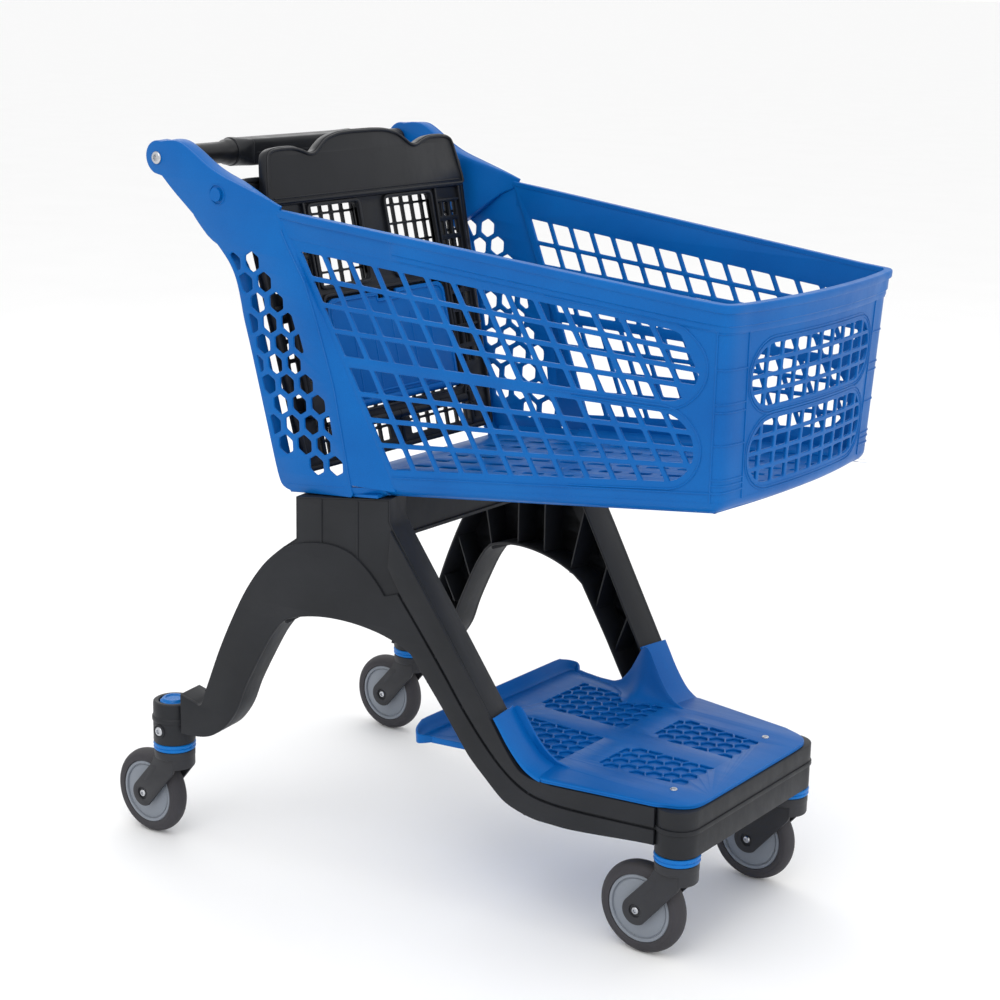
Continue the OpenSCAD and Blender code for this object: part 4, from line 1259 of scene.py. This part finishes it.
@dataclass
class Seat:
    """Child seat: tall back with its raised plaque, and the blue folding seat."""

    flap_half: float = 129.0

    def crest(self) -> list[Point]:
        """Outline of the plaque, in (y, z along the gate)."""
        half = smooth([(-205, 26), (-202, 38), (-197, 46), (-187, 50.5), (-170, 52), (-146, 51.5),
                       (-128, 47),
                       (-115, 42.5), (-104, 44), (-92, 52), (-76, 61), (-52, 66.6), (-24, 68.4)], 4)
        return [(-207, -27), (-213, -22), (-213, -12), *half, *[(-y, z) for y, z in reversed(half)],
                (213, -12),
                (213, -22), (207, -27)]

    def openings(self) -> list[list[Point]]:
        """Openings of the seat back."""
        out = []
        for s in (-1, 1):
            out.append(rounded(box_outline(s * 80.5 - 50.5, s * 80.5 + 50.5, -140, -32), 8, 4))
            for i in (-1, 0, 1):
                for j in range(9):
                    y, z = s * 167 + i * 17, -58 - j * 27
                    if abs(y) < 204 - (-z) * 0.03 - 10 and not (abs(y) < 150 and z < -150):
                        out.append(rounded(box_outline(y - 5.6, y + 5.6, z - 10, z + 10), 2, 2))
        out.append(rounded(box_outline(-self.flap_half - 2, self.flap_half + 2, -318, -157), 10, 4))
        return out

    def back(self) -> bpy.types.Object:
        """Builds the seat back."""
        piece = Moulding("seat_back_panel")
        place = Trolley.gate()
        body = rounded([(-206, 0), (206, 0), (197, -315), (142, -319), (140, -335), (-140, -335),
                        (-142, -319),
                        (-197, -315)], 6, 3)
        piece.sheet(body, self.openings(), 26.5, 33.5, place, edge=1.4)
        piece.border(body, 5, 24.2, 36, place, 1.6)
        crest = self.crest()
        piece.sheet(crest, [], 24.2, 39.4, place, edge=3.2)
        # Raised edge round the plaque and the crease above its foot.
        ring = grown(crest, -4.2)
        piece.tube([place(y, z, 39.4) for y, z in ring], 2.3, 8, loop=True)
        piece.tube([place(y, -17, 39.4) for y in range(-200, 201, 20)], 1.4, 8)
        # Raised frames of the two windows and the outer ribs.
        for s in (-1, 1):
            window = rounded(box_outline(s * 80.5 - 55.5, s * 80.5 + 55.5, -146, -27), 11, 4)
            piece.border(window, 5, 25, 37.6, place, 1.6)
            for y in (143.5, 199):
                rib = [(s * y - 2, -10), (s * y + 2, -10), (s * (y - 7) + 2, -312), (s * (y - 7) - 2, -312)]
                piece.sheet(rib, [], 25, 38.2, place, edge=1.4)
            piece.sheet(box_outline(s * 104 - 12, s * 104 + 12, -24, -21, 1.2), [], 33, 38, place, edge=0.8)
            for z in (-45, -152, -230):
                piece.sheet(box_outline(min(s * 142, s * 201), max(s * 142, s * 201), z - 2, z + 2), [], 25,
                            37, place,
                            edge=1.2)
        flap = rounded(box_outline(-self.flap_half - 7, self.flap_half + 7, -322, -152), 13, 4)
        piece.border(flap, 4.6, 25, 37.4, place, 1.5)
        # Hinge barrel with its split collars.
        centre = place(0, -335, 31)
        rows = [(4.15, -140)]
        for k in range(-4, 5):
            rows += [(6.9, k * 31 - 15.0), (6.9, k * 31 + 14.0), (6.1, k * 31 + 14.5), (6.1, k * 31 + 15.5)]
        rows += [(4.15, 140)]
        piece.lathe(rows, centre, Vector((0, 1, 0)), 28)
        return piece.build(SEAT_PP, "seat_back", ("seat_back",))

    def flap(self) -> bpy.types.Object:
        """Builds the blue folding seat with its raised edge and latch notches."""
        piece = Moulding("folding_seat")
        place = Trolley.gate()
        h = self.flap_half - 0.4
        base = -304
        latch = [(6, -159.6), (6, -160.4), (6, -170), (20, -170), (20, -160.4), (20, -159.6)]
        corner = [(h - 16 + 16 * math.sin(a), -175.6 + 16 * math.cos(a))
                  for a in (math.radians(90 - 15 * k) for k in range(7))]
        right = [*corner, *reversed(latch)]
        outline = distinct([(-h, base), (h, base), *right, *[(-y, z) for y, z in reversed(right)]], 0.2)
        piece.sheet(outline, [], 30.2, 35.4, place, edge=1.5)
        # Raised border on the face and shallow seat dish lines.
        edge = [(-h + 5, base + 6), (h - 5, base + 6), *[(y - 5, z - 5) for y, z in corner], (24, -165),
                (24, -174),
                (2, -174), (-2, -174), (-24, -174), (-24, -165),
                *[(-y + 5, z - 5) for y, z in reversed(corner)]]
        piece.tube([place(y, z, 35.4) for y, z in rounded(edge, 3, 2)], 1.5, 8, loop=True)
        for k in (-2, -1, 0, 1, 2):
            piece.tube([place(k * 42, z, 35.2) for z in range(-292, -190, 12)], 1.2, 8)
        # Hinge barrel.
        rows = [(3.15, -h), (5.6, -h), (6.4, -h + 1), (6.4, h - 1), (5.6, h), (3.15, h)]
        piece.lathe(rows, place(0, -309, 30), Vector((0, 1, 0)), 28)
        return piece.build(BLUE_PP, "seat", ("seat_flap",))

    def make(self) -> list[bpy.types.Object]:
        """Builds the seat's pieces."""
        return [self.back(), self.flap()]


# ---------- side frames ----------

@dataclass
class SideFrame:
    """Black side frame: saddle, arch and two legs, open towards the inside."""

    side: int
    half_t: float = 24.6
    wall: float = 4.0
    turn: int = 0

    def outline(self) -> list[Point]:
        """Closed outline in the frame's plane."""
        rear = smooth([(28, 232), (48, 226), (62, 222), (69, 239), (78, 263), (96, 310), (117, 357),
                       (142, 405),
                       (170, 444), (198, 470), (222, 488)], 4)
        saddle = [(222.2, 540), (222.2, Trolley.floor_z(221) - 1.4), (366.8, Trolley.floor_z(366) - 1.4),
                  (366.8, 532)]
        front = smooth([(372, 522), (420, 447.5), (470, 369.5), (520, 291), (543, 254), (562, 228),
                        (580, 218)], 4)
        foot = [(613, 214.3), (690, 214.5), (756, 214.5)]
        self.turn = len(rear) + len(saddle) + len(front) + len(foot)
        under = smooth([(756, 163), (743, 163), (717, 162), (680, 160), (639, 158.5), (610, 160),
                        (587, 162), (562, 169),
                        (540, 180), (515, 204), (493, 227), (481, 243), (452, 286), (420, 330), (401, 356)],
                       4)
        arch = smooth([(384, 366), (351, 377), (310, 384), (268, 385), (232, 380), (207, 372)], 4)
        inner = smooth([(196, 362), (179, 339), (157, 299), (137, 259), (123, 224), (105, 198), (88, 184),
                        (71, 176),
                        (50, 173), (28, 173)], 4)
        return [*rear, *saddle, *front, *foot, *under, *arch, *inner]

    def ledge(self) -> list[Point]:
        """The line where the raised strip of the front leg ends."""
        return smooth([(366, 470), (384, 438), (408, 404), (452, 341), (482, 296), (514, 254), (546, 220),
                       (578, 199),
                       (612, 191), (655, 188.5), (700, 188), (756, 187.5)], 4)

    def make(self) -> bpy.types.Object:
        """Builds the frame."""
        piece = Moulding(f"side_frame_{'right' if self.side < 0 else 'left'}_shell")
        place = Trolley.leg(self.side)
        out = self.outline()
        t = self.half_t
        piece.sheet(out, [], t - 8.0, t - 4.6, place, edge=1.0)
        piece.border(out, self.wall, -t, t - 4.6, place, 1.6)
        # The front leg's raised strip, from the saddle to the socket post.
        front = smooth([(370, 520), (420, 446), (470, 368), (520, 290), (543, 253), (562, 227.5),
                        (580, 217.8)], 4)
        strip = [*front, (613, 214), (690, 214.2), (756, 214.2), *reversed(self.ledge())]
        piece.sheet(distinct(strip, 0.3), [], t - 8, t, place, edge=1.8)
        # The rear leg and arch: their curved top stands proud of the saddle's face.
        leg = [p for p in out[:44] if p[0] < 206]
        crown = smooth([(206, 474), (226, 482), (252, 487.5), (280, 488), (308, 481), (332, 464),
                        (350, 445), (361, 430)], 4)
        under = out[self.turn:]
        arch = [*leg, *crown, *shifted(self.ledge(), 3.6)[4:], (756, 184), *under]
        piece.sheet(distinct(arch, 0.3), [], t - 8, t - 0.6, place, edge=2.2)
        self.ribs(piece, place)
        return piece.build(BLACK_PP, "cart", (f"side_frame_{'right' if self.side < 0 else 'left'}",))

    def ribs(self, piece: Moulding, place: Place) -> None:
        """Adds the cross ribs inside the hollow moulding."""
        t = self.half_t
        spans = [((92, 214), (70, 246)), ((122, 262), (98, 300)), ((158, 308), (128, 372)),
                 ((206, 366), (186, 452)),
                 ((262, 386), (262, 548)), ((318, 384), (318, 552)), ((372, 366), (400, 472)),
                 ((426, 320), (448, 396)),
                 ((466, 264), (492, 328)), ((512, 210), (540, 252)), ((572, 164), (580, 212)),
                 ((640, 162), (640, 210))]
        for (s0, z0), (s1, z1) in spans:
            d = Vector((s1 - s0, z1 - z0)).normalized() * 1.5
            rib = [(s0 - d.y, z0 + d.x), (s1 - d.y, z1 + d.x), (s1 + d.y, z1 - d.x), (s0 + d.y, z0 - d.x)]
            piece.sheet(rib, [], -t + 5, t - 3.4, place, edge=0.8)


@dataclass
class Chassis:
    """Sockets, crossmember and beam that join the side frames."""

    socket_r: float = 30.0
    z0: float = 151.0

    def sockets(self) -> bpy.types.Object:
        """Builds the rear sockets with their ledge, screw boss and the neck to the leg."""
        piece = Moulding("rear_socket_shells")
        for side in (-1, 1):
            base = Vector((0, side * Trolley.TRACK, 0))
            rows = [(10.4, 151), (28.6, 151), (29.8, 152.2), (30, 154), (30, 183), (31.2, 184.6),
                    (31.4, 186), (31.4, 189),
                    (31.0, 190.2), (29.6, 191.4), (29.6, 209), (29.0, 211.6), (27.0, 212.9), (22.4, 212.9),
                    (21.4, 212.0),
                    (21.0, 205.4), (10.4, 205.4)]
            piece.lathe(rows, base, Vector((0, 0, 1)), 56)
            boss = [(4.2, 27.5), (10.2, 27.5), (10.2, 30.4), (9.6, 31.4), (7.6, 31.4), (7.2, 29.4),
                    (4.2, 29.4)]
            piece.lathe(boss, base + Vector((0, 0, 172)), Vector((0, side, 0)), 30)
        return piece.build(BLACK_PP, "cart", ("rear_sockets",))

    def caps(self) -> bpy.types.Object:
        """Builds the blue caps in the rear sockets."""
        piece = Moulding("socket_plugs")
        for side in (-1, 1):
            rows = [(0.4, 205), (19.6, 205), (19.8, 210.5), (19.2, 212), (17.6, 212.6), (16.6, 214.6),
                    (15.4, 215.8),
                    (12.0, 215.9), (11.0, 214.4), (10.0, 214.2), (0.4, 214.4)]
            piece.lathe(rows, Vector((0, side * Trolley.TRACK, 0)), Vector((0, 0, 1)), 48)
        return piece.build(BLUE_CAP, "cart", ("socket_caps",))

    def socket_screws(self) -> bpy.types.Object:
        """Builds the screws in the sides of the rear sockets."""
        piece = Moulding("socket_side_screws")
        for side in (-1, 1):
            seat = Vector((0, side * (Trolley.TRACK + 29.4), 172))
            Fastener(6.9, 3.4).head(piece, seat, Vector((0, side, 0)))
        return piece.build(STEEL, "cart", ("socket_screws",))

    def crossmember(self) -> bpy.types.Object:
        """Builds the front crossmember with its rounded socket posts and the ledge round it."""
        piece = Moulding("front_crossmember_shell")
        x0, y0, r, top = Trolley.BASE, Trolley.FRONT_TRACK, self.socket_r, 214.8

        def plan(grow: float) -> list[Point]:
            """Plan outline of the beam and posts, grown by a step."""
            q = r + grow
            pts = arc(x0, y0, q, 0, 6, 45)
            back = [(x0 - 14, y0 - 26), (x0 - 6.0, y0 - 34)]
            right = [(x, -y) for x, y in reversed(pts + back)]
            return [*pts, *back, *right]
        for z_low, z_top, grow in ((self.z0 + 1, 184.2, -0.4), (184.0, 190.4, 1.4), (190.2, top, -0.2)):
            piece.sheet(plan(grow), [], z_low, z_top, Trolley.level(), edge=1.3)
        for side in (-1, 1):
            piece.lathe([(10.4, 151), (25, 151), (26, 152), (26, 154), (10.4, 154)],
                        Vector((x0, side * y0, 0)),
                        Vector((0, 0, 1)), 48)
        return piece.build(BLACK_PP, "cart", ("front_crossmember",))

    def rings(self) -> list[bpy.types.Object]:
        """Builds the blue collar rings: two rolls with a groove between."""
        made = []
        rows = [(11.2, 140.2), (28.6, 140.2), (29.9, 141.2), (30.4, 142.8), (30.0, 144.4), (29.0, 145.2),
                (29.0, 145.9),
                (30.0, 146.6), (30.5, 148.2), (30.1, 149.9), (28.8, 150.9), (11.2, 150.9)]
        for corner in Caster:
            piece = Moulding(f"collar_{corner.name}")
            piece.lathe(rows, corner.swivel(), Vector((0, 0, 1)), 56)
            made.append(piece.build(BLUE_CAP, "cart", (f"ring_{corner.name}",)))
        return made

    def beam(self) -> bpy.types.Object:
        """Builds the ribbed beam under the basket between the saddles."""
        piece = Moulding("saddle_beam")

        def place(x: float, w: float, y: float) -> Vector:
            """Point of the beam: along the slope, above the floor's underside, across."""
            return Vector((209 + x - w * Trolley.FLOOR_K, y, Trolley.FLOOR_Z + x * Trolley.FLOOR_K + w))

        def half(x: float) -> float:
            """Half length between the side frames."""
            return Trolley.TRACK - (209 + x) * math.tan(Trolley.SPLAY) - 24.8
        for x0, x1, w0, w1 in ((34, 138, -8, -4.2), (34, 38, -59, -4.6), (134, 138, -59, -4.6),
                               (30, 42, -60, -56),
                               (130, 142, -60, -56)):
            h = half(x1)
            piece.sheet(box_outline(x0, x1, w0, w1), [], -h, h, place, edge=0.9)
        for k in range(-4, 5):
            piece.sheet([(37, -6), (135, -6), (135, -52), (118, -34), (54, -34), (37, -52)], [],
                        k * 44 - 1.6, k * 44 + 1.6,
                        place, edge=0.7)
        return piece.build(BLACK_PP, "cart", ("cross_beam",))

    def make(self) -> list[bpy.types.Object]:
        """Builds the chassis pieces."""
        return [self.sockets(), self.caps(), self.socket_screws(), self.crossmember(), self.beam(),
                *self.rings()]


# ---------- lower tray ----------

@dataclass
class Tray:
    """Blue tray over the front platform: pocketed fields, wings up the legs and an upturned rear edge."""

    z: float = 215.3
    t: float = 6.0
    pitch: float = 23.0

    def half_out(self, x: float) -> float:
        """Half width to the outer faces of the legs."""
        return Trolley.TRACK - x * math.tan(Trolley.SPLAY) + 23.6

    def half_in(self, x: float) -> float:
        """Half width between the legs."""
        return Trolley.TRACK - x * math.tan(Trolley.SPLAY) - 29.0

    def plan(self) -> list[Point]:
        """Outline of the tray in plan."""
        right = smooth([(748, -self.half_out(748)), (762, -164), (776, -158), (788, -148), (794, -134),
                        (795.5, -110)], 3)
        front = [*right, *[(x, -y) for x, y in reversed(right)]]
        return [(592, -self.half_out(592)), *front, (592, self.half_out(592)),
                (580, self.half_out(580) - 6),
                (574, self.half_in(574)), (372, self.half_in(372)), (368, self.half_in(368) - 6),
                (368, -self.half_in(368) + 6), (372, -self.half_in(372)), (574, -self.half_in(574)),
                (580, -self.half_out(580) + 6)]

    def pockets(self) -> list[list[Point]]:
        """Hexagon pockets of the four fields beside the plain cross bands."""
        out = []
        step, r = self.pitch, self.pitch / 2 / math.cos(math.pi / 6) - 1.6
        rise = step * math.sin(math.pi / 3)
        for x0, x1 in ((428, 574), (618, 748)):
            for side in (-1, 1):
                out0, out1 = (min(self.half_in(x) - 16, 178) for x in (x0, x1))
                window = [(x0, side * 22), (x1, side * 22), (x1, side * (out1 - (4 if x1 > 700 else 0))),
                          (x0, side * (out0 - 12))]
                for i in range(-1, 9):
                    for j in range(-1, 10):
                        cx = x0 + i * rise
                        cy = side * (22 + j * step + (i % 2) * step / 2)
                        hexagon = [(cx + r * math.sin(a), cy + r * math.cos(a))
                                   for a in (math.pi * k / 3 + math.pi / 6 for k in range(6))]
                        cell = clip(hexagon, window)
                        if len(cell) > 2 and abs(area(cell)) > 90:
                            out.append(rounded(cell, 1.8, 2))
        return out

    def make(self) -> list[bpy.types.Object]:
        """Builds the tray and its screws."""
        piece = Moulding("tray")
        level = Trolley.level()
        plan = rounded(self.plan(), 3, 2)
        piece.sheet(plan, [], self.z, self.z + 2.6, level, edge=0.8)
        piece.sheet(plan, self.pockets(), self.z + 2.2, self.z + self.t, level, edge=1.3)
        self.coving(piece)
        for side in (-1, 1):
            self.wing(piece, side)
        tray = piece.build(BLUE_PP, "cart", ("lower_tray",))
        screws = Moulding("tray_screw_heads")
        for side in (-1, 1):
            seat = Vector((745, side * 118, self.z + self.t - 0.2))
            Fastener(4.9, 2.2).head(screws, seat, Vector((0, 0, 1)))
        return [tray, screws.build(STEEL, "cart", ("tray_screws",))]

    def upstand(self, x: float) -> float:
        """Height of the side upstand above the tray's face at x; it sweeps up into the wing."""
        return table(x, [(372, 9), (388, 5.5), (404, 3.4), (440, 3.4), (466, 5.5), (482, 13), (496, 30),
                         (508, 52),
                         (517, 68), (524, 74), (531, 70), (541, 53), (553, 34), (567, 17), (582, 6),
                         (600, 0.5)])

    def coving(self, piece: Moulding) -> None:
        """Adds the upturned edge: along one leg, round the rear and back along the other leg."""
        side = [(x, -self.half_in(x)) for x in (*range(600, 460, -6), *range(460, 396, -10))]
        path = [*side, *smooth([(396, -self.half_in(396)), (384, -189), (374, -180), (369.5, -164)], 4),
                *[(368.5, y) for y in range(-150, 1, 15)]]
        tall = [*(self.upstand(x) for x, _ in side), *(mix(4, 18, k / 12) for k in range(13)), *[18.0] * 11]
        path += [(x, -y) for x, y in reversed(path[:-1])]
        tall += tall[-2::-1]
        rings = []
        for i, (x, y) in enumerate(path):
            a, b = path[max(i - 1, 0)], path[min(i + 1, len(path) - 1)]
            d = Vector((b[0] - a[0], b[1] - a[1])).normalized()
            out = Vector((-d.y, d.x))
            if out.dot(Vector((x - 520, y))) < 0:
                out = -out
            h, top = tall[i], self.z + self.t - 0.5
            lean = min(h * 0.04, 1.5)
            section = [(-5 - 0.52 * h, top - 0.4), (-4 - 0.36 * h, top + 0.03 * h),
                       (-3.4 - 0.2 * h, top + 0.14 * h),
                       (-3.0 - 0.09 * h, top + 0.36 * h), (-2.7 - 0.03 * h, top + 0.64 * h),
                       (-2.2 + lean, top + 0.96 * h), (-1.2 + lean, top + h + 0.5),
                       (0.4 + lean, top + h + 0.4),
                       (1.2 + lean, top + 0.96 * h - 0.4), (1.2, top + 0.3 * h), (0.8, self.z + 1.0),
                       (-4, self.z + 0.3)]
            rings.append([Vector((x + out.x * o, y + out.y * o, z)) for o, z in section])
        piece.loft(rings)

    def wing(self, piece: Moulding, side: int) -> None:
        """Adds the strip of one wing that lies over the leg's front face.

        Args:
            piece: the tray.
            side: -1 for the right leg.
        """
        place = Trolley.leg(side)
        # Strip lying on the front face of the leg, from its inner to its outer face.
        line = smooth([(525, 290), (534, 276), (546, 257), (560, 239), (572, 227), (584, 219.6),
                       (594, 215.6)], 4)
        rings = []
        for i, (s, z) in enumerate(line):
            a = Vector(line[max(i - 1, 0)])
            b = Vector(line[min(i + 1, len(line) - 1)])
            d = (b - a).normalized()
            n = Vector((-d.y, d.x))
            if n.y < 0:
                n = -n
            t = 4.6
            top = (s + n.x * t, z + n.y * t)
            rings.append([place(s, z, -28), place(*top, -28), place(*top, 21.2),
                          place(s + n.x * (t - 1), z + n.y * (t - 1), 23.4), place(s, z, 23.8)])
        piece.loft(rings)


# ---------- casters ----------

class Caster(Enum):
    """The four casters: whether it is a rear one, and its side."""

    rear_right = (True, -1)
    rear_left = (True, 1)
    front_right = (False, -1)
    front_left = (False, 1)

    def swivel(self) -> Vector:
        """Foot of the swivel axis on the floor."""
        rear, side = self.value
        return Vector((0.0 if rear else Trolley.BASE,
                       side * (Trolley.TRACK if rear else Trolley.FRONT_TRACK), 0))

    def axle(self) -> Vector:
        """Middle of the wheel."""
        return self.swivel() + Vector((-Trolley.TRAIL, 0, Trolley.WHEEL_R))

    def fork(self) -> bpy.types.Object:
        """Builds the fork: round crown, hooded cheeks and pierced, rounded arm ends."""
        piece = Moulding(f"fork_{self.name}_casting")
        o = self.swivel()
        piece.lathe([(0.5, 126.5), (26, 126.5), (28.6, 128), (29.3, 130), (29.3, 137.6), (28.6, 139.2),
                     (26.5, 139.6),
                     (0.5, 139.6)], o, Vector((0, 0, 1)), 56)
        ax, az = -Trolley.TRAIL, Trolley.WHEEL_R
        tip = arc(ax, az, 19.6, 135, 10, 18)
        arm = [*tip, *rounded([tip[-1], (17, 109), (19.4, 131), (-19.6, 131), (-26, 116), tip[0]], 5,
                              4)[5:-5]]
        for s in (-1, 1):
            def place(x: float, z: float, w: float) -> Vector:
                """Point of this arm."""
                return o + Vector((x, s * w, z))
            piece.sheet(arm, [circle(ax, az, 9.0, 28)], 17.2, 21.8, place, edge=1.2)
            piece.sheet(circle(ax, az, 11, 28), [circle(ax, az, 5.05, 20)], 16.6, 19.4, place, edge=0.5)
            # Raised spine from the crown towards the arm's end.
            spine = [(-30, 112), (-36, 96), (-44, 84), (-36, 84), (-22, 100), (-14, 114)]
            piece.sheet(rounded(spine, 5, 3), [], 19, 22.0, place, edge=1.0)
        # The crown's skirt: its round front wall runs on down between the arms, ahead of the tread.
        rings = []
        for k in range(-10, 11):
            a = math.radians(5.2 * k)
            rings.append([o + Vector((q * math.cos(a), q * math.sin(a), z)) for q, z in (
                (28.9, 130), (28.9, 115.5), (28.2, 113.6), (26.6, 113.2), (25.0, 114.4), (24.6, 130))])
        piece.loft(rings)
        return piece.build(FORK_PA, f"caster_{self.name}", (f"fork_{self.name}",))

    def axle_bolt(self) -> bpy.types.Object:
        """Builds the axle bolt with its domed heads."""
        piece = Moulding(f"axle_{self.name}_bolt")
        c = self.axle()
        piece.lathe([(0.3, -19.5), (4.9, -19.5), (4.9, 19.5), (0.3, 19.5)], c, Vector((0, 1, 0)), 24)
        for s in (-1, 1):
            axis = Vector((0, s, 0))
            Fastener(5.2, 2.9).head(piece, c + axis * 19.4, axis)
        return piece.build(STEEL, f"caster_{self.name}", (f"axle_{self.name}",))

    def hub(self) -> bpy.types.Object:
        """Builds the wheel centre: flat disc inside a raised rim, with a stepped boss."""
        piece = Moulding(f"wheel_centre_{self.name}")
        face = [(5.1, 14.8), (12.6, 14.8), (13.6, 14.2), (14.4, 11.5), (17.5, 11.0), (20, 10.4),
                (38.6, 10.4), (39.4, 10.0),
                (39.8, 9.2), (40.6, 9.2), (41.0, 10.0), (41.6, 11.6), (42.4, 12.1), (45.0, 12.1),
                (45.9, 11.4),
                (45.95, 10.4)]
        rows = [*face, *[(r, -h) for r, h in reversed(face)]]
        piece.lathe(rows, self.axle(), Vector((0, 1, 0)), 72)
        return piece.build(HUB_PP, f"wheel_{self.name}", (f"hub_{self.name}",))

    def tyre(self) -> bpy.types.Object:
        """Builds the tyre: crowned tread with a moulding line and stepped shoulders."""
        piece = Moulding(f"tread_{self.name}")
        r = Trolley.WHEEL_R
        side = [(46.0, 11.4), (46.8, 12.9), (49, 13.3), (52.2, 13.3), (53.0, 12.9), (53.6, 13.1),
                (55.4, 12.6),
                (58.0, 11.0), (60.2, 8.4), (61.6, 5.2), (r - 0.18, 2.0), (r - 0.02, 0.5)]
        rows = [*side, *[(q, -h) for q, h in reversed(side)]]
        piece.lathe(rows, self.axle(), Vector((0, 1, 0)), 96)
        return piece.build(TREAD, f"wheel_{self.name}", (f"tyre_{self.name}",))

    def make(self) -> list[bpy.types.Object]:
        """Builds this caster's pieces."""
        return [self.fork(), self.axle_bolt(), self.hub(), self.tyre()]


# ---------- carried-over nodes, stage and camera ----------

def dress(frame: dict) -> None:
    """Dresses the frame's own pins and bolts."""
    for name, finish in (("gate_pins", BLUE_PP), ("seat_back_pin", STEEL), ("flap_pin", STEEL),
                         ("basket_bolts", STEEL)):
        thing = frame["nodes"][name]
        thing.data.materials.clear()
        thing.data.materials.append(finish.material())


@dataclass
class Studio:
    """Pale floor, soft lights and the camera."""

    lens: float = 73.1
    yaw: float = 126.425
    pitch: float = -14.569
    roll: float = 1.093
    stand: tuple[float, float, float] = (1.61705, -2.1992, 1.2271)

    def camera(self) -> None:
        """Makes the camera."""
        y, p, r = (math.radians(a) for a in (self.yaw, self.pitch, self.roll))
        ahead = Vector((math.cos(p) * math.cos(y), math.cos(p) * math.sin(y), math.sin(p)))
        right = Vector((math.sin(y), -math.cos(y), 0))
        up = right.cross(ahead)
        right, up = right * math.cos(r) + up * math.sin(r), up * math.cos(r) - right * math.sin(r)
        data = bpy.data.cameras.new("camera")
        data.lens, data.sensor_width = self.lens, 36
        thing = bpy.data.objects.new("camera", data)
        turn = Matrix((right, up, -ahead)).transposed().to_4x4()
        thing.matrix_world = Matrix.Translation(self.stand) @ turn
        bpy.context.scene.collection.objects.link(thing)
        bpy.context.scene.camera = thing

    def floor(self) -> None:
        """Makes the floor in smooth pale plaster."""
        bm = bmesh.new()
        bmesh.ops.create_grid(bm, x_segments=8, y_segments=8, size=120)
        mesh = bpy.data.meshes.new("studio_floor")
        bm.to_mesh(mesh)
        bm.free()
        thing = bpy.data.objects.new("studio_floor", mesh)
        bpy.context.scene.collection.objects.link(thing)
        mat = bpy.data.materials.new("pale_plaster")
        mat.use_nodes = True
        tree = mat.node_tree
        tree.nodes.clear()
        where = node(tree, "ShaderNodeTexCoord").outputs["Object"]
        cloud = node(tree, "ShaderNodeTexNoise", {"Vector": where, "Scale": 3.0, "Detail": 4.0})
        tone = node(tree, "ShaderNodeMix",
                    {"Factor": cloud.outputs[0], "A": linear("f7f7f7"), "B": linear("fbfbfb")},
                    data_type="RGBA")
        shader = node(tree, "ShaderNodeBsdfPrincipled",
                      {"Base Color": tone.outputs["Result"], "Roughness": 0.85})
        node(tree, "ShaderNodeOutputMaterial", {"Surface": shader.outputs[0]})
        mesh.materials.append(mat)

    def light(self, name: str, at: tuple, target: tuple, size: float, power: float) -> None:
        """Adds a soft square light.

        Args:
            name: its name.
            at: where it hangs.
            target: point it faces.
            size: side length in metres.
            power: watts.
        """
        data = bpy.data.lights.new(name, "AREA")
        data.shape, data.size, data.energy = "SQUARE", size, power
        thing = bpy.data.objects.new(name, data)
        thing.location = at
        thing.rotation_mode = "QUATERNION"
        thing.rotation_quaternion = (Vector(target) - Vector(at)).to_track_quat("-Z", "Y")
        bpy.context.scene.collection.objects.link(thing)

    def make(self) -> None:
        """Sets the whole studio."""
        self.camera()
        self.floor()
        middle = (0, 0, 0.5)
        self.light("key", (0.8, -2.6, 3.4), middle, 2.2, 34)
        self.light("front_fill", (3.4, -0.6, 1.8), middle, 2.4, 14)
        self.light("left_rim", (-2.6, 1.8, 2.8), middle, 2.0, 14)
        self.light("overhead", (0, 0.4, 4.2), middle, 3.2, 22)
        world = bpy.data.worlds.new("studio")
        world.use_nodes = True
        tree = world.node_tree
        tree.nodes.clear()
        glow = node(tree, "ShaderNodeBackground", {"Color": linear("ffffff"), "Strength": 1.0})
        node(tree, "ShaderNodeOutputWorld", {"Surface": glow.outputs[0]})
        bpy.context.scene.world = world
        bpy.context.scene.view_settings.view_transform = "Standard"


def main(frame: dict) -> None:
    """Builds the trolley's pieces in order.
    """
    logging.basicConfig(level=logging.INFO, format="%(message)s")
    Trolley.read_frame()
    Studio().make()
    made = [Basket().make(), *Handle().make(), *Gate().make(), *Seat().make(), *Chassis().make(),
            SideFrame(-1).make(), SideFrame(1).make(), *Tray().make()]
    for corner in Caster:
        made += corner.make()
    dress(frame)
    log.info("%d pieces built", len(made))


if __name__ == "__main__":
    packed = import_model()
    main(packed)
